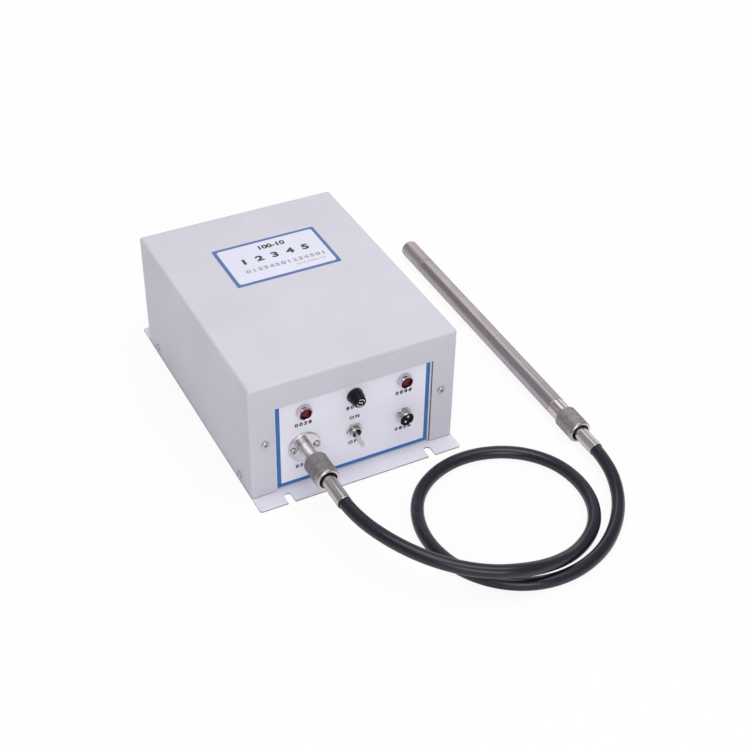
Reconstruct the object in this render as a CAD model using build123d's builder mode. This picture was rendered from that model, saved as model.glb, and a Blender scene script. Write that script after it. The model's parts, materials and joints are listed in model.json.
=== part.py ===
from build123d import *
from math import cos, pi, radians, sin, sqrt, tan
import os

# High-energy ignition set: an ignition box, the ignition rod whose tip sparks inside the
# burner, and the high-tension cable that joins them.
#
# Frame: origin at the centre of the box's underside, +X along the front to the right,
# the control panel faces -Y, +Z up. Millimetres and degrees throughout.

os.makedirs("parts", exist_ok=True)

# --- box: folded cover over a flat chassis ------------------------------------------------
case_width = 220.0
case_depth = 288.0
case_height = 134.0            # floor to the top of the cover
cover_sheet = 1.5
cover_bend = 3.0               # outside radius of the cover's bends
cover_gap = 0.6                # shadow line between the cover's edge and the base
opening_width = 169.0          # window for the panel in the cover's front
opening_top = 104.5
base_sheet = 1.5
flange_reach = 20.0            # mounting flange beyond the front and the rear
flange_corner = 3.0
notch_width = 7.5              # open mounting notches in the flanges
notch_depth = 13.5
notch_spacing = 154.0
lip_height = 15.0              # chassis lips inside the cover's skirt
lip_clearance = 0.4
lip_margin = 6.0               # lips end this far from the corners

# --- control panel ------------------------------------------------------------------------
panel_setback = 1.2            # air between the cover's front and the panel
panel_sheet = 1.5
panel_side_gap = 2.0           # panel to the cover's side walls
panel_return = 10.0            # panel edges folded back
panel_foot = 14.0
foot_screw_spacing = 70.0
foot_screw_edge = 5.0
return_gap = 3.0               # panel returns clear of the lips and the cover's top
overlay_sheet = 0.4
overlay_margin = 0.3           # window's edge to the overlay
output_inset = 31.0            # output socket's and left lamp's axes from the window's edge
inlet_inset = 30.3             # inlet's and right lamp's axes from the window's edge
middle_column = 0.5
upper_row = 90.2
lower_row = 46.5
hole_clearance = 0.2           # radial, round fittings in their panel holes

# --- label on the top ---------------------------------------------------------------------
label_length = 115.0
label_width = 72.0
label_sheet = 0.4
label_corner = 2.0
label_offset_x = 4.5
label_offset_y = 48.0

# --- screws -------------------------------------------------------------------------------
screw_shank_radius = 2.0
screw_head_radius = 3.7
screw_head_height = 2.3
screw_length = 7.0
screw_hole_radius = 2.2
recess_length = 4.2
recess_width = 0.9
recess_depth = 1.1
leg_screw_height = 65.5
leg_screw_share = 0.4          # leg screws' place across the legs, from the window's edge
side_screw_inset = 30.0        # side screws from the front and rear faces
side_screw_height = 9.5
rear_screw_inset = 4.85        # rear screws from the ends of the chassis's rear lip

# --- indicator lamps ----------------------------------------------------------------------
lamp_base_radius = 7.9
lamp_front_radius = 7.0
lamp_height = 6.0
lamp_lens_radius = 6.0
lamp_lens_recess = 3.0
lens_dome = 1.2
lamp_body_radius = 4.9
lamp_body_length = 26.0
lamp_floor = 1.2
nut_across_flats = 14.6
nut_thickness = 2.5

# --- fuse holder, screw cap type ----------------------------------------------------------
fuse_flange_radius = 8.4
fuse_flange_height = 1.3
fuse_barrel_radius = 6.0
fuse_barrel_length = 34.0
fuse_cap_base_radius = 7.8
fuse_cap_front_radius = 6.2
fuse_cap_height = 13.4         # front of the cap above the overlay
fuse_stem_radius = 4.9
fuse_stem_reach = 9.5
fuse_link_radius = 2.6
fuse_link_length = 20.0
fuse_link_front = -2.3         # front end of the fuse link behind the overlay
fuse_gap = 0.3

# --- toggle switch ------------------------------------------------------------------------
bushing_radius = 5.9
bushing_height = 5.9
bushing_tail = 8.0
throat_radius = 4.6            # mouth of the lever's throat
ball_radius = 2.4
ball_gap = 0.5
pivot_pin_radius = 0.8
pivot_pin_length = 5.0
pivot_depth = 4.0              # lever pivot behind the overlay
lever_angle = 13.5             # lever below the horizontal at rest
lever_stem_radius = 1.8
lever_tip_radius = 2.4
lever_tip_round = 0.8
lever_reach = 24.5
lever_tail = 7.0
toggle_nut_flats = 16.0
toggle_width = 18.0
toggle_height = 30.0
toggle_depth = 22.0

# --- two-pin power inlet, M16 thread ------------------------------------------------------
inlet_radius = 7.8
inlet_height = 9.0
inlet_bore_radius = 7.0
inlet_face_recess = 1.3
inlet_flange_radius = 8.4
inlet_flange_height = 0.8
inlet_tail = 12.0
inlet_pin_radius = 1.25
inlet_pin_spacing = 6.2
inlet_pin_tilt = 25.0          # the line of the pins from the vertical
inlet_nut_radius = 10.5

# --- high-tension sockets and plugs -------------------------------------------------------
socket_flange_radius = 16.6
socket_flange_height = 2.6
socket_neck_radius = 7.2
socket_reach = 35.5            # overlay to the seat face of the output socket
socket_spigot_radius = 9.0
socket_spigot_length = 14.0
flange_screw_offset = 12.5
flange_screw_head_radius = 3.5
thread_radius = 9.7            # crest radius of the M20 thread
thread_length = 11.3
socket_bore_radius = 6.5
contact_radius = 2.6
contact_bore_radius = 1.7
pin_radius = 1.4
nut_radius = 12.1
nut_overlap = 10.9             # union nut behind the seat face
nut_front = 19.0               # union nut before the seat face
nut_bore_radius = 10.0
nut_mouth_radius = 9.2
nut_chamfer = 1.0
collar_radius = 9.7
collar_length = 9.0
sleeve_radius = 7.3
sleeve_bore_radius = 6.6
seal_radius = 8.9
seal_bore_radius = 7.6
seal_length = 4.0
seal_recess = 2.5              # dust seal inside the nut's mouth
box_sleeve_reach = 53.0        # seat face to the sleeve's end, at the box
rod_sleeve_reach = 48.3        # the same, at the rod
sleeve_grip = 13.0             # cable inside its sleeve

# --- cable --------------------------------------------------------------------------------
cable_radius = 6.5

# --- ignition rod -------------------------------------------------------------------------
rod_radius = 10.0
rod_wall = 1.5
rod_tube_length = 287.3
rod_tip_length = 45.0
rod_tip_wall = 3.5
rod_barrel_radius = 9.8
rod_barrel_length = 27.2       # tube end to the seat face
rod_spigot_length = 22.0
tip_spigot_length = 14.0
spigot_gap = 0.2
joint_chamfer = 0.6            # V-groove where the tip meets the tube
rod_insulator_radius = 6.2
rod_conductor_gap = 0.2
tip_ring_radius = 7.5
tip_ring_length = 8.0
tip_recess = 1.0
rod_rear_x = 223.3             # rear end of the rod's tube
rod_rear_y = -164.0
rod_yaw = 0.90                 # rod turned clockwise from +Y, seen from above
floor_clearance = 0.1

# --- inside the box -----------------------------------------------------------------------
core_width = 75.0
core_height = 62.0
core_stack = 38.0
core_leg = 13.0                # outer legs and yokes
core_centre_leg = 25.0
bracket_side_gap = 2.6         # bracket's foot to the chassis lip
core_y = 78.0
winding_gap = 0.4
winding_build = 10.5
strap_sheet = 1.5
strap_foot = 13.0
bracket_width = 26.0
capacitor_width = 58.0
capacitor_length = 100.0
capacitor_height = 88.0
clamp_side_gap = 7.1           # clamp's foot to the chassis lip
capacitor_y = 62.0
clamp_width = 20.0
terminal_radius = 3.0
terminal_height = 12.0
terminal_inset = 18.0          # terminals from the capacitor's ends
capacitor_corner = 6.0
board_width = 96.0
board_length = 84.0
board_sheet = 1.6
board_side_gap = 20.6          # board's edge to the chassis lip
board_y = -52.0
board_height = 18.0            # underside of the board
board_hole_inset = 5.0
rectifier_length = 30.0
rectifier_width = 10.0
rectifier_height = 12.0
rectifier_spacing = 22.0
filter_radius = 8.0
filter_height = 24.0
filter_spacing = 22.0
choke_length = 40.0
choke_width = 22.0
choke_height = 18.0
component_margin = 7.0         # components from the board's edges
standoff_radius = 3.2
discharge_radius = 12.0
discharge_length = 56.0
discharge_front = -96.0
discharge_cap_radius = 13.0
discharge_cap_length = 8.0
clip_width = 10.0
clip_wall = 2.5
clip_foot = 8.0
clip_foot_height = 3.0
clip_inset = 12.0              # clips from the tube's ends
clip_gap = 0.1
lead_radius = 2.2

# --- planes and levels worked out from the sizes above ------------------------------------
front_face = -case_depth / 2
rear_face = case_depth / 2
panel_front = front_face + cover_sheet + panel_setback
panel_back = panel_front + panel_sheet
overlay_front = panel_front - overlay_sheet
behind_panel = overlay_front - panel_back      # the panel's back in fitting distances, negative
cover_bottom = base_sheet + cover_gap
inner_half_width = case_width / 2 - cover_sheet
leg_width = (case_width - opening_width) / 2
lip_outside = inner_half_width - lip_clearance
lip_inside = lip_outside - base_sheet
core_x = bracket_side_gap + strap_foot + strap_sheet + core_width / 2 - lip_inside
capacitor_x = lip_inside - clamp_side_gap - strap_foot - strap_sheet - capacitor_width / 2
board_x = lip_inside - board_side_gap - board_width / 2
left_column = output_inset - opening_width / 2
right_column = opening_width / 2 - inlet_inset


def facing_front(y):
    """Plane at depth y whose normal looks out of the front: local x is X, local y is Z."""
    return Plane.XZ.offset(-y)


def lathe_plane(origin, direction):
    """Plane for turned profiles: local x is the radius, local y runs along the direction."""
    along = Vector(*direction).normalized()
    up = Vector(0, 0, 1)
    radius = (up - along * up.dot(along)).normalized()
    return Plane(origin=origin, x_dir=radius, z_dir=radius.cross(along))


def turn(points, origin, direction, mode=Mode.ADD):
    """Revolve a closed profile of (radius, distance) points about a line."""
    with BuildSketch(lathe_plane(origin, direction)) as outline:
        with BuildLine():
            Polyline(*points, close=True)
        make_face()
    revolve(outline.sketch, axis=Axis(origin, direction), mode=mode)


def at_panel(column, row):
    """Point on the overlay's front where a fitting's axis leaves the panel."""
    return (column, overlay_front, row)


outward = (0, -1, 0)
panel_points = {
    "left_lamp": (left_column, upper_row),
    "right_lamp": (right_column, upper_row),
    "fuse": (middle_column, upper_row),
    "toggle": (middle_column, lower_row),
    "inlet": (right_column, lower_row),
    "output": (left_column, lower_row),
}
panel_holes = {
    "left_lamp": lamp_body_radius + hole_clearance,
    "right_lamp": lamp_body_radius + hole_clearance,
    "fuse": fuse_barrel_radius + hole_clearance,
    "toggle": bushing_radius + hole_clearance,
    "inlet": inlet_bore_radius + 0.7 + hole_clearance,
    "output": socket_spigot_radius + hole_clearance,
}
flange_screw_points = [
    (left_column + side * flange_screw_offset, lower_row) for side in (-1, 1)
]
rear_screw_x = [side * (lip_outside - lip_margin - rear_screw_inset) for side in (-1, 1)]
leg_screw_points = [
    (side * (opening_width / 2 + leg_screw_share * leg_width), leg_screw_height)
    for side in (-1, 1)
]
side_screw_depths = [front_face + side_screw_inset, rear_face - side_screw_inset]
foot_screw_x = [-foot_screw_spacing, 0, foot_screw_spacing]
foot_screw_y = panel_back + panel_foot - foot_screw_edge
strap_screw_reach = strap_sheet + strap_foot / 2


# ==========================================================================================
# Chassis
# ==========================================================================================
notch_centre_y = case_depth / 2 + flange_reach - notch_depth + notch_width / 2
notch_run = notch_depth - notch_width / 2 + 1.0
bracket_screws = [
    (core_x + side * (core_width / 2 + strap_screw_reach), core_y) for side in (-1, 1)
]
clamp_screws = [
    (capacitor_x + side * (capacitor_width / 2 + strap_screw_reach), capacitor_y)
    for side in (-1, 1)
]
foot_screws = [(x, foot_screw_y) for x in foot_screw_x]
chassis_screw_points = foot_screws + bracket_screws + clamp_screws

with BuildPart() as base_plate:
    with BuildSketch():
        Rectangle(case_width, case_depth + 2 * flange_reach)
        fillet(vertices(), flange_corner)
        for end in (-1, 1):
            for side in (-1, 1):
                with Locations((side * notch_spacing / 2, end * notch_centre_y)):
                    Circle(notch_width / 2, mode=Mode.SUBTRACT)
                with Locations(
                    (side * notch_spacing / 2, end * (notch_centre_y + notch_run / 2))
                ):
                    Rectangle(notch_width, notch_run, mode=Mode.SUBTRACT)
        with Locations(*chassis_screw_points):
            Circle(screw_hole_radius, mode=Mode.SUBTRACT)
    extrude(amount=base_sheet)
    lip_length = case_depth - 2 * (cover_sheet + lip_margin)
    with BuildSketch(Plane.XY.offset(base_sheet)):
        for side in (-1, 1):
            with Locations((side * (lip_outside - base_sheet / 2), 0)):
                Rectangle(base_sheet, lip_length)
        with Locations((0, rear_face - cover_sheet - lip_clearance - base_sheet / 2)):
            Rectangle(2 * (lip_outside - lip_margin), base_sheet)
    extrude(amount=lip_height)
    for side in (-1, 1):
        for depth in side_screw_depths:
            with Locations(
                Plane(
                    origin=(side * lip_outside, depth, side_screw_height),
                    z_dir=(side, 0, 0),
                )
            ):
                Hole(screw_hole_radius, depth=base_sheet + 1)
    for x in rear_screw_x:
        with Locations(
            Plane(origin=(x, rear_face - cover_sheet, side_screw_height), z_dir=(0, 1, 0))
        ):
            Hole(screw_hole_radius, depth=base_sheet + lip_clearance + 1)
base_plate.part.label = "base_plate"

cover_height = case_height - cover_bottom
with BuildPart() as case_cover:
    with BuildSketch(Plane.XY.offset(cover_bottom)):
        RectangleRounded(case_width, case_depth, cover_bend)
    extrude(amount=cover_height)
    fillet(faces().sort_by(Axis.Z)[-1].edges(), cover_bend)
    offset(amount=-cover_sheet, openings=faces().sort_by(Axis.Z)[0], kind=Kind.INTERSECTION)
    with BuildSketch(facing_front(front_face)):
        with Locations((0, (opening_top + cover_bottom) / 2)):
            Rectangle(opening_width, opening_top - cover_bottom)
    extrude(amount=-2 * cover_sheet, mode=Mode.SUBTRACT)
    for x, z in leg_screw_points:
        with Locations(Plane(origin=(x, front_face, z), z_dir=outward)):
            Hole(screw_hole_radius, depth=cover_sheet + 1)
    for x in rear_screw_x:
        with Locations(Plane(origin=(x, rear_face, side_screw_height), z_dir=(0, 1, 0))):
            Hole(screw_hole_radius, depth=cover_sheet + 1)
    for side in (-1, 1):
        for depth in side_screw_depths:
            with Locations(
                Plane(
                    origin=(side * case_width / 2, depth, side_screw_height),
                    z_dir=(side, 0, 0),
                )
            ):
                Hole(screw_hole_radius, depth=cover_sheet + 1)
case_cover.part.label = "case_cover"

panel_half_width = inner_half_width - panel_side_gap
panel_bottom = base_sheet
panel_top = case_height - cover_sheet - panel_side_gap
return_bottom = base_sheet + lip_height + return_gap
return_top = panel_top - return_gap
return_middle = (return_top + return_bottom) / 2
return_height = return_top - return_bottom
with BuildPart() as front_panel:
    with BuildSketch(facing_front(panel_front)):
        with Locations((0, (panel_top + panel_bottom) / 2)):
            Rectangle(2 * panel_half_width, panel_top - panel_bottom)
        for name, point in panel_points.items():
            with Locations(point):
                Circle(panel_holes[name], mode=Mode.SUBTRACT)
        with Locations(*leg_screw_points, *flange_screw_points):
            Circle(screw_hole_radius, mode=Mode.SUBTRACT)
    extrude(amount=-panel_sheet)
    with BuildSketch(facing_front(panel_back)):
        for side in (-1, 1):
            with Locations((side * (panel_half_width - panel_sheet / 2), return_middle)):
                Rectangle(panel_sheet, return_height)
    extrude(amount=-panel_return)
    with BuildSketch(Plane.XY.offset(panel_bottom)):
        with Locations((0, panel_back + panel_foot / 2)):
            Rectangle(2 * (lip_outside - lip_margin), panel_foot)
        with Locations(*foot_screws):
            Circle(screw_hole_radius, mode=Mode.SUBTRACT)
    extrude(amount=panel_sheet)
front_panel.part.label = "front_panel"

with BuildPart() as panel_overlay:
    overlay_top = opening_top - overlay_margin
    overlay_bottom = cover_bottom + overlay_sheet
    with BuildSketch(facing_front(panel_front)):
        with Locations((0, (overlay_top + overlay_bottom) / 2)):
            Rectangle(opening_width - 2 * overlay_margin, overlay_top - overlay_bottom)
        for name, point in panel_points.items():
            with Locations(point):
                Circle(panel_holes[name], mode=Mode.SUBTRACT)
        with Locations(*flange_screw_points):
            Circle(screw_hole_radius, mode=Mode.SUBTRACT)
    extrude(amount=overlay_sheet)
panel_overlay.part.label = "panel_overlay"

with BuildPart() as top_label:
    with BuildSketch(Plane.XY.offset(case_height)):
        with Locations((label_offset_x, label_offset_y)):
            RectangleRounded(label_length, label_width, label_corner)
    extrude(amount=label_sheet)
top_label.part.label = "top_label"


# ==========================================================================================
# Screws: one pan-head pattern, placed where each set goes
# ==========================================================================================
def pan_screw(length, head_radius=screw_head_radius):
    """Cross-recess pan-head screw on the origin, head up, shank down."""
    with BuildPart() as screw:
        with BuildSketch():
            Circle(head_radius)
        extrude(amount=screw_head_height)
        fillet(faces().sort_by(Axis.Z)[-1].edges(), screw_head_height * 0.55)
        with BuildSketch():
            Circle(screw_shank_radius)
        extrude(amount=-length)
        with BuildSketch(Plane.XY.offset(screw_head_height)):
            Rectangle(recess_length, recess_width)
            Rectangle(recess_width, recess_length)
        extrude(amount=-recess_depth, mode=Mode.SUBTRACT)
    return screw.part


cover_screw = pan_screw(screw_length)
with BuildPart() as cover_screws:
    for x, z in leg_screw_points:
        with Locations(Plane(origin=(x, front_face, z), z_dir=outward)):
            add(cover_screw)
    for x in rear_screw_x:
        with Locations(Plane(origin=(x, rear_face, side_screw_height), z_dir=(0, 1, 0))):
            add(cover_screw)
    for side in (-1, 1):
        for depth in side_screw_depths:
            with Locations(
                Plane(
                    origin=(side * case_width / 2, depth, side_screw_height),
                    z_dir=(side, 0, 0),
                )
            ):
                add(cover_screw)
cover_screws.part.label = "cover_screws"

chassis_screw = pan_screw(strap_sheet + base_sheet - 0.2)
with BuildPart() as chassis_screws:
    for x, y in chassis_screw_points:
        with Locations((x, y, base_sheet + strap_sheet)):
            add(chassis_screw)
chassis_screws.part.label = "chassis_screws"

pieces = [
    base_plate,
    case_cover,
    front_panel,
    panel_overlay,
    top_label,
    cover_screws,
    chassis_screws,
]


# ==========================================================================================
# Indicator lamps
# ==========================================================================================
lamp_lens_seat = lamp_floor
lamp_lens_front = lamp_height - lamp_lens_recess
for side_name, column in (("left", left_column), ("right", right_column)):
    lamp_point = at_panel(column, upper_row)

    with BuildPart() as lamp_bezel:
        turn(
            [
                (lamp_body_radius + hole_clearance, 0),
                (lamp_base_radius, 0),
                (lamp_base_radius, lamp_floor),
                (lamp_front_radius + 0.3, lamp_height - 0.5),
                (lamp_front_radius - 0.2, lamp_height),
                (lamp_lens_radius + 0.3, lamp_height),
                (lamp_lens_radius + 0.1, lamp_height - 0.3),
                (lamp_lens_radius + 0.1, lamp_floor),
                (lamp_body_radius + hole_clearance, lamp_floor),
            ],
            lamp_point,
            outward,
        )
    lamp_bezel.part.label = f"{side_name}_lamp_bezel"

    with BuildPart() as lamp_lens:
        with BuildSketch(lathe_plane(lamp_point, outward)) as lens_outline:
            with BuildLine():
                Polyline(
                    (0, lamp_lens_front),
                    (0, lamp_lens_seat),
                    (lamp_lens_radius, lamp_lens_seat),
                    (lamp_lens_radius, lamp_lens_front - lens_dome),
                )
                TangentArc(
                    (0, lamp_lens_front),
                    (lamp_lens_radius, lamp_lens_front - lens_dome),
                    tangent=(1, 0),
                )
            make_face()
        revolve(axis=Axis(lamp_point, outward))
    lamp_lens.part.label = f"{side_name}_lamp_lens"

    with BuildPart() as lamp_body:
        turn(
            [
                (0, lamp_floor),
                (lamp_body_radius, lamp_floor),
                (lamp_body_radius, -lamp_body_length),
                (0, -lamp_body_length),
            ],
            lamp_point,
            outward,
        )
        with BuildSketch(facing_front(overlay_front + lamp_body_length)):
            with Locations((column - 2.2, upper_row), (column + 2.2, upper_row)):
                Rectangle(0.8, 2.8)
        extrude(amount=-6)
    lamp_body.part.label = f"{side_name}_lamp_body"
    pieces += [lamp_bezel, lamp_lens, lamp_body]

with BuildPart() as lamp_nuts:
    with BuildSketch(facing_front(panel_back + nut_thickness)):
        for column in (left_column, right_column):
            with Locations((column, upper_row)):
                RegularPolygon(nut_across_flats / 2, 6, major_radius=False)
                Circle(lamp_body_radius + hole_clearance, mode=Mode.SUBTRACT)
    extrude(amount=nut_thickness)
lamp_nuts.part.label = "lamp_nuts"
pieces.append(lamp_nuts)


# ==========================================================================================
# Fuse holder
# ==========================================================================================
fuse_point = at_panel(middle_column, upper_row)
fuse_rear = fuse_link_front - fuse_link_length
fuse_bore_radius = fuse_link_radius + 0.5
stem_bore_radius = fuse_stem_radius + 0.3

with BuildPart() as fuse_holder_body:
    turn(
        [
            (stem_bore_radius, fuse_flange_height),
            (fuse_flange_radius - 0.5, fuse_flange_height),
            (fuse_flange_radius, fuse_flange_height - 0.5),
            (fuse_flange_radius, 0),
            (fuse_barrel_radius, 0),
            (fuse_barrel_radius, -fuse_barrel_length),
            (fuse_bore_radius, -fuse_barrel_length),
            (fuse_bore_radius, -fuse_stem_reach - fuse_gap),
            (stem_bore_radius, -fuse_stem_reach - fuse_gap),
        ],
        fuse_point,
        outward,
    )
fuse_holder_body.part.label = "fuse_holder_body"

with BuildPart() as fuse_holder_nut:
    with BuildSketch(facing_front(panel_back + nut_thickness)):
        with Locations((middle_column, upper_row)):
            RegularPolygon(nut_across_flats / 2 + 1.2, 6, major_radius=False)
            Circle(fuse_barrel_radius + hole_clearance, mode=Mode.SUBTRACT)
    extrude(amount=nut_thickness)
fuse_holder_nut.part.label = "fuse_holder_nut"

with BuildPart() as fuse_cap:
    cap_seat = fuse_flange_height + fuse_gap
    cap_shoulder = fuse_cap_height - 2.6
    turn(
        [
            (0, fuse_cap_height),
            (fuse_cap_front_radius - 1.6, fuse_cap_height),
            (fuse_cap_front_radius - 0.5, fuse_cap_height - 0.5),
            (fuse_cap_front_radius, fuse_cap_height - 1.5),
            (fuse_cap_base_radius - 0.1, cap_seat + 4.2),
            (fuse_cap_base_radius, cap_seat + 2.5),
            (fuse_cap_base_radius, cap_seat),
            (fuse_stem_radius, cap_seat),
            (fuse_stem_radius, -fuse_stem_reach),
            (fuse_link_radius + 0.3, -fuse_stem_reach),
            (fuse_link_radius + 0.3, fuse_link_front + fuse_gap),
            (0, fuse_link_front + fuse_gap),
        ],
        fuse_point,
        outward,
    )
    with BuildSketch(facing_front(overlay_front - fuse_cap_height)):
        with Locations((middle_column, upper_row)):
            Rectangle(6.4, 1.1, rotation=25)
    extrude(amount=-1.4, mode=Mode.SUBTRACT)
fuse_cap.part.label = "fuse_cap"

with BuildPart() as fuse_link:
    link_cap = 5.0
    glass_radius = fuse_link_radius - 0.2
    turn(
        [
            (0, fuse_link_front),
            (fuse_link_radius, fuse_link_front),
            (fuse_link_radius, fuse_link_front - link_cap),
            (glass_radius, fuse_link_front - link_cap),
            (glass_radius, fuse_rear + link_cap),
            (fuse_link_radius, fuse_rear + link_cap),
            (fuse_link_radius, fuse_rear),
            (0, fuse_rear),
        ],
        fuse_point,
        outward,
    )
fuse_link.part.label = "fuse_link"

with BuildPart() as fuse_holder_terminals:
    terminal_ring = -fuse_barrel_length + 8
    turn(
        [
            (0, fuse_rear - fuse_gap),
            (fuse_bore_radius - 0.1, fuse_rear - fuse_gap),
            (fuse_bore_radius - 0.1, -fuse_barrel_length - 0.8),
            (0, -fuse_barrel_length - 0.8),
        ],
        fuse_point,
        outward,
    )
    with BuildSketch(facing_front(overlay_front + fuse_barrel_length + 0.8)):
        with Locations((middle_column, upper_row)):
            Rectangle(4.8, 0.8)
    extrude(amount=-8)
    turn(
        [
            (fuse_barrel_radius, terminal_ring),
            (fuse_barrel_radius + 0.8, terminal_ring),
            (fuse_barrel_radius + 0.8, terminal_ring - 4),
            (fuse_barrel_radius, terminal_ring - 4),
        ],
        fuse_point,
        outward,
    )
    with BuildSketch(facing_front(overlay_front - terminal_ring + 0.5)):
        with Locations((middle_column + fuse_barrel_radius + 3.4, upper_row)):
            Rectangle(6, 4)
    extrude(amount=-0.8)
fuse_holder_terminals.part.label = "fuse_holder_terminals"
pieces += [fuse_holder_body, fuse_holder_nut, fuse_cap, fuse_link, fuse_holder_terminals]


# ==========================================================================================
# Toggle switch
# ==========================================================================================
toggle_point = at_panel(middle_column, lower_row)
pivot_point = (middle_column, overlay_front + pivot_depth, lower_row)
lever_direction = (0, -cos(radians(lever_angle)), -sin(radians(lever_angle)))
cavity_radius = ball_radius + ball_gap

with BuildPart() as toggle_bushing:
    bushing_flange = bushing_radius + 2.4
    turn(
        [
            (throat_radius, bushing_height),
            (bushing_radius - 0.6, bushing_height),
            (bushing_radius, bushing_height - 0.6),
            (bushing_radius, behind_panel),
            (bushing_flange, behind_panel),
            (bushing_flange, behind_panel - 2.4),
            (bushing_radius, behind_panel - 2.4),
            (bushing_radius, -bushing_tail),
            (cavity_radius + 1.0, -bushing_tail),
            (cavity_radius, -pivot_depth),
        ],
        toggle_point,
        outward,
    )
toggle_bushing.part.label = "toggle_bushing"

with BuildPart() as toggle_nut:
    with BuildSketch(facing_front(overlay_front)):
        with Locations((middle_column, lower_row)):
            RegularPolygon(toggle_nut_flats / 2, 6, major_radius=False)
    extrude(amount=nut_thickness)
    chamfer(faces().sort_by(Axis.Y)[0].edges(), 0.5)
    with Locations(Plane(origin=toggle_point, z_dir=outward).offset(nut_thickness)):
        Hole(bushing_radius + 0.1, depth=nut_thickness + 1)
toggle_nut.part.label = "toggle_nut"

with BuildPart() as toggle_lever:
    stem_start = sqrt(ball_radius**2 - lever_stem_radius**2)
    tip_start = lever_reach * 0.55
    with BuildSketch(lathe_plane(pivot_point, lever_direction)):
        with BuildLine():
            Polyline(
                (0, -lever_tail),
                (lever_stem_radius, -lever_tail),
                (lever_stem_radius, -stem_start),
            )
            ThreePointArc((lever_stem_radius, -stem_start), (ball_radius, 0), (lever_stem_radius, stem_start))
            Polyline(
                (lever_stem_radius, stem_start),
                (lever_stem_radius, tip_start),
                (lever_tip_radius, lever_reach - lever_tip_round),
                (lever_tip_radius - lever_tip_round, lever_reach),
                (0, lever_reach),
                (0, -lever_tail),
            )
        make_face()
    revolve(axis=Axis(pivot_point, lever_direction))
    with Locations(Location(pivot_point, (0, 90, 0))):
        Cylinder(pivot_pin_radius, pivot_pin_length)
toggle_lever.part.label = "toggle_lever"

with BuildPart() as toggle_body:
    body_front = overlay_front + bushing_tail
    with BuildSketch(facing_front(body_front)):
        with Locations((middle_column, lower_row)):
            Rectangle(toggle_width, toggle_height)
    extrude(amount=-toggle_depth)
    fillet(edges().filter_by(Axis.Y), 1.5)
    with BuildSketch(facing_front(body_front)):
        with Locations((middle_column, lower_row)):
            SlotOverall(12.0, 9.0, rotation=90)
    extrude(amount=-8, mode=Mode.SUBTRACT)
toggle_body.part.label = "toggle_body"

with BuildPart() as toggle_terminals:
    with BuildSketch(facing_front(body_front + toggle_depth)):
        for step in (-1, 0, 1):
            with Locations((middle_column, lower_row + step * 9)):
                Rectangle(5, 0.8)
    extrude(amount=-8)
toggle_terminals.part.label = "toggle_terminals"
pieces += [toggle_bushing, toggle_nut, toggle_lever, toggle_body, toggle_terminals]


# ==========================================================================================
# Power inlet
# ==========================================================================================
inlet_point = at_panel(right_column, lower_row)
inlet_neck_radius = inlet_bore_radius + 0.7

with BuildPart() as inlet_shell:
    turn(
        [
            (inlet_bore_radius, inlet_height),
            (inlet_radius - 0.5, inlet_height),
            (inlet_radius, inlet_height - 0.5),
            (inlet_radius, inlet_flange_height),
            (inlet_flange_radius, inlet_flange_height),
            (inlet_flange_radius, 0),
            (inlet_neck_radius, 0),
            (inlet_neck_radius, -inlet_tail),
            (inlet_bore_radius, -inlet_tail),
        ],
        inlet_point,
        outward,
    )
inlet_shell.part.label = "inlet_shell"

with BuildPart() as inlet_insert:
    insert_radius = inlet_bore_radius - 0.1
    insert_front = inlet_height - inlet_face_recess
    turn(
        [
            (0, insert_front),
            (insert_radius, insert_front),
            (insert_radius, -inlet_tail - 2),
            (0, -inlet_tail - 2),
        ],
        inlet_point,
        outward,
    )
    with BuildSketch(facing_front(overlay_front - insert_front)):
        with Locations((right_column - insert_radius, lower_row)):
            Rectangle(3.2, 1.8)
        pin_row = (
            inlet_pin_spacing / 2 * sin(radians(inlet_pin_tilt)),
            inlet_pin_spacing / 2 * cos(radians(inlet_pin_tilt)),
        )
    extrude(amount=-3, mode=Mode.SUBTRACT)
    with BuildSketch(facing_front(overlay_front - insert_front)):
        for side in (-1, 1):
            with Locations((right_column + side * pin_row[0], lower_row + side * pin_row[1])):
                Circle(inlet_pin_radius + 0.1)
    extrude(amount=-(insert_front + inlet_tail + 3), mode=Mode.SUBTRACT)
inlet_insert.part.label = "inlet_insert"

with BuildPart() as inlet_pins:
    pin_front = inlet_height - 0.2
    with BuildSketch(facing_front(overlay_front - pin_front)):
        for side in (-1, 1):
            with Locations((right_column + side * pin_row[0], lower_row + side * pin_row[1])):
                Circle(inlet_pin_radius)
    extrude(amount=-(pin_front + inlet_tail + 8))
    fillet(edges().group_by(Axis.Y)[0], 0.5)
inlet_pins.part.label = "inlet_pins"

with BuildPart() as inlet_nut:
    with BuildSketch(facing_front(panel_back + nut_thickness)):
        with Locations((right_column, lower_row)):
            RegularPolygon(inlet_nut_radius, 6)
            Circle(inlet_neck_radius + hole_clearance, mode=Mode.SUBTRACT)
    extrude(amount=nut_thickness)
inlet_nut.part.label = "inlet_nut"
pieces += [inlet_shell, inlet_insert, inlet_pins, inlet_nut]


# ==========================================================================================
# High-tension output socket
# ==========================================================================================
output_point = at_panel(left_column, lower_row)

with BuildPart() as output_socket:
    turn(
        [
            (socket_bore_radius, socket_reach),
            (thread_radius - 0.6, socket_reach),
            (thread_radius, socket_reach - 0.6),
            (thread_radius, socket_reach - thread_length),
            (socket_neck_radius, socket_reach - thread_length),
            (socket_neck_radius, socket_flange_height),
            (socket_flange_radius - 0.5, socket_flange_height),
            (socket_flange_radius, socket_flange_height - 0.5),
            (socket_flange_radius, 0),
            (socket_spigot_radius, 0),
            (socket_spigot_radius, -socket_spigot_length),
            (socket_bore_radius, -socket_spigot_length),
        ],
        output_point,
        outward,
    )
    with BuildSketch(facing_front(overlay_front - socket_flange_height)):
        with Locations(*flange_screw_points):
            Circle(screw_hole_radius)
    extrude(amount=-socket_flange_height, mode=Mode.SUBTRACT)
output_socket.part.label = "output_socket"

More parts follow.
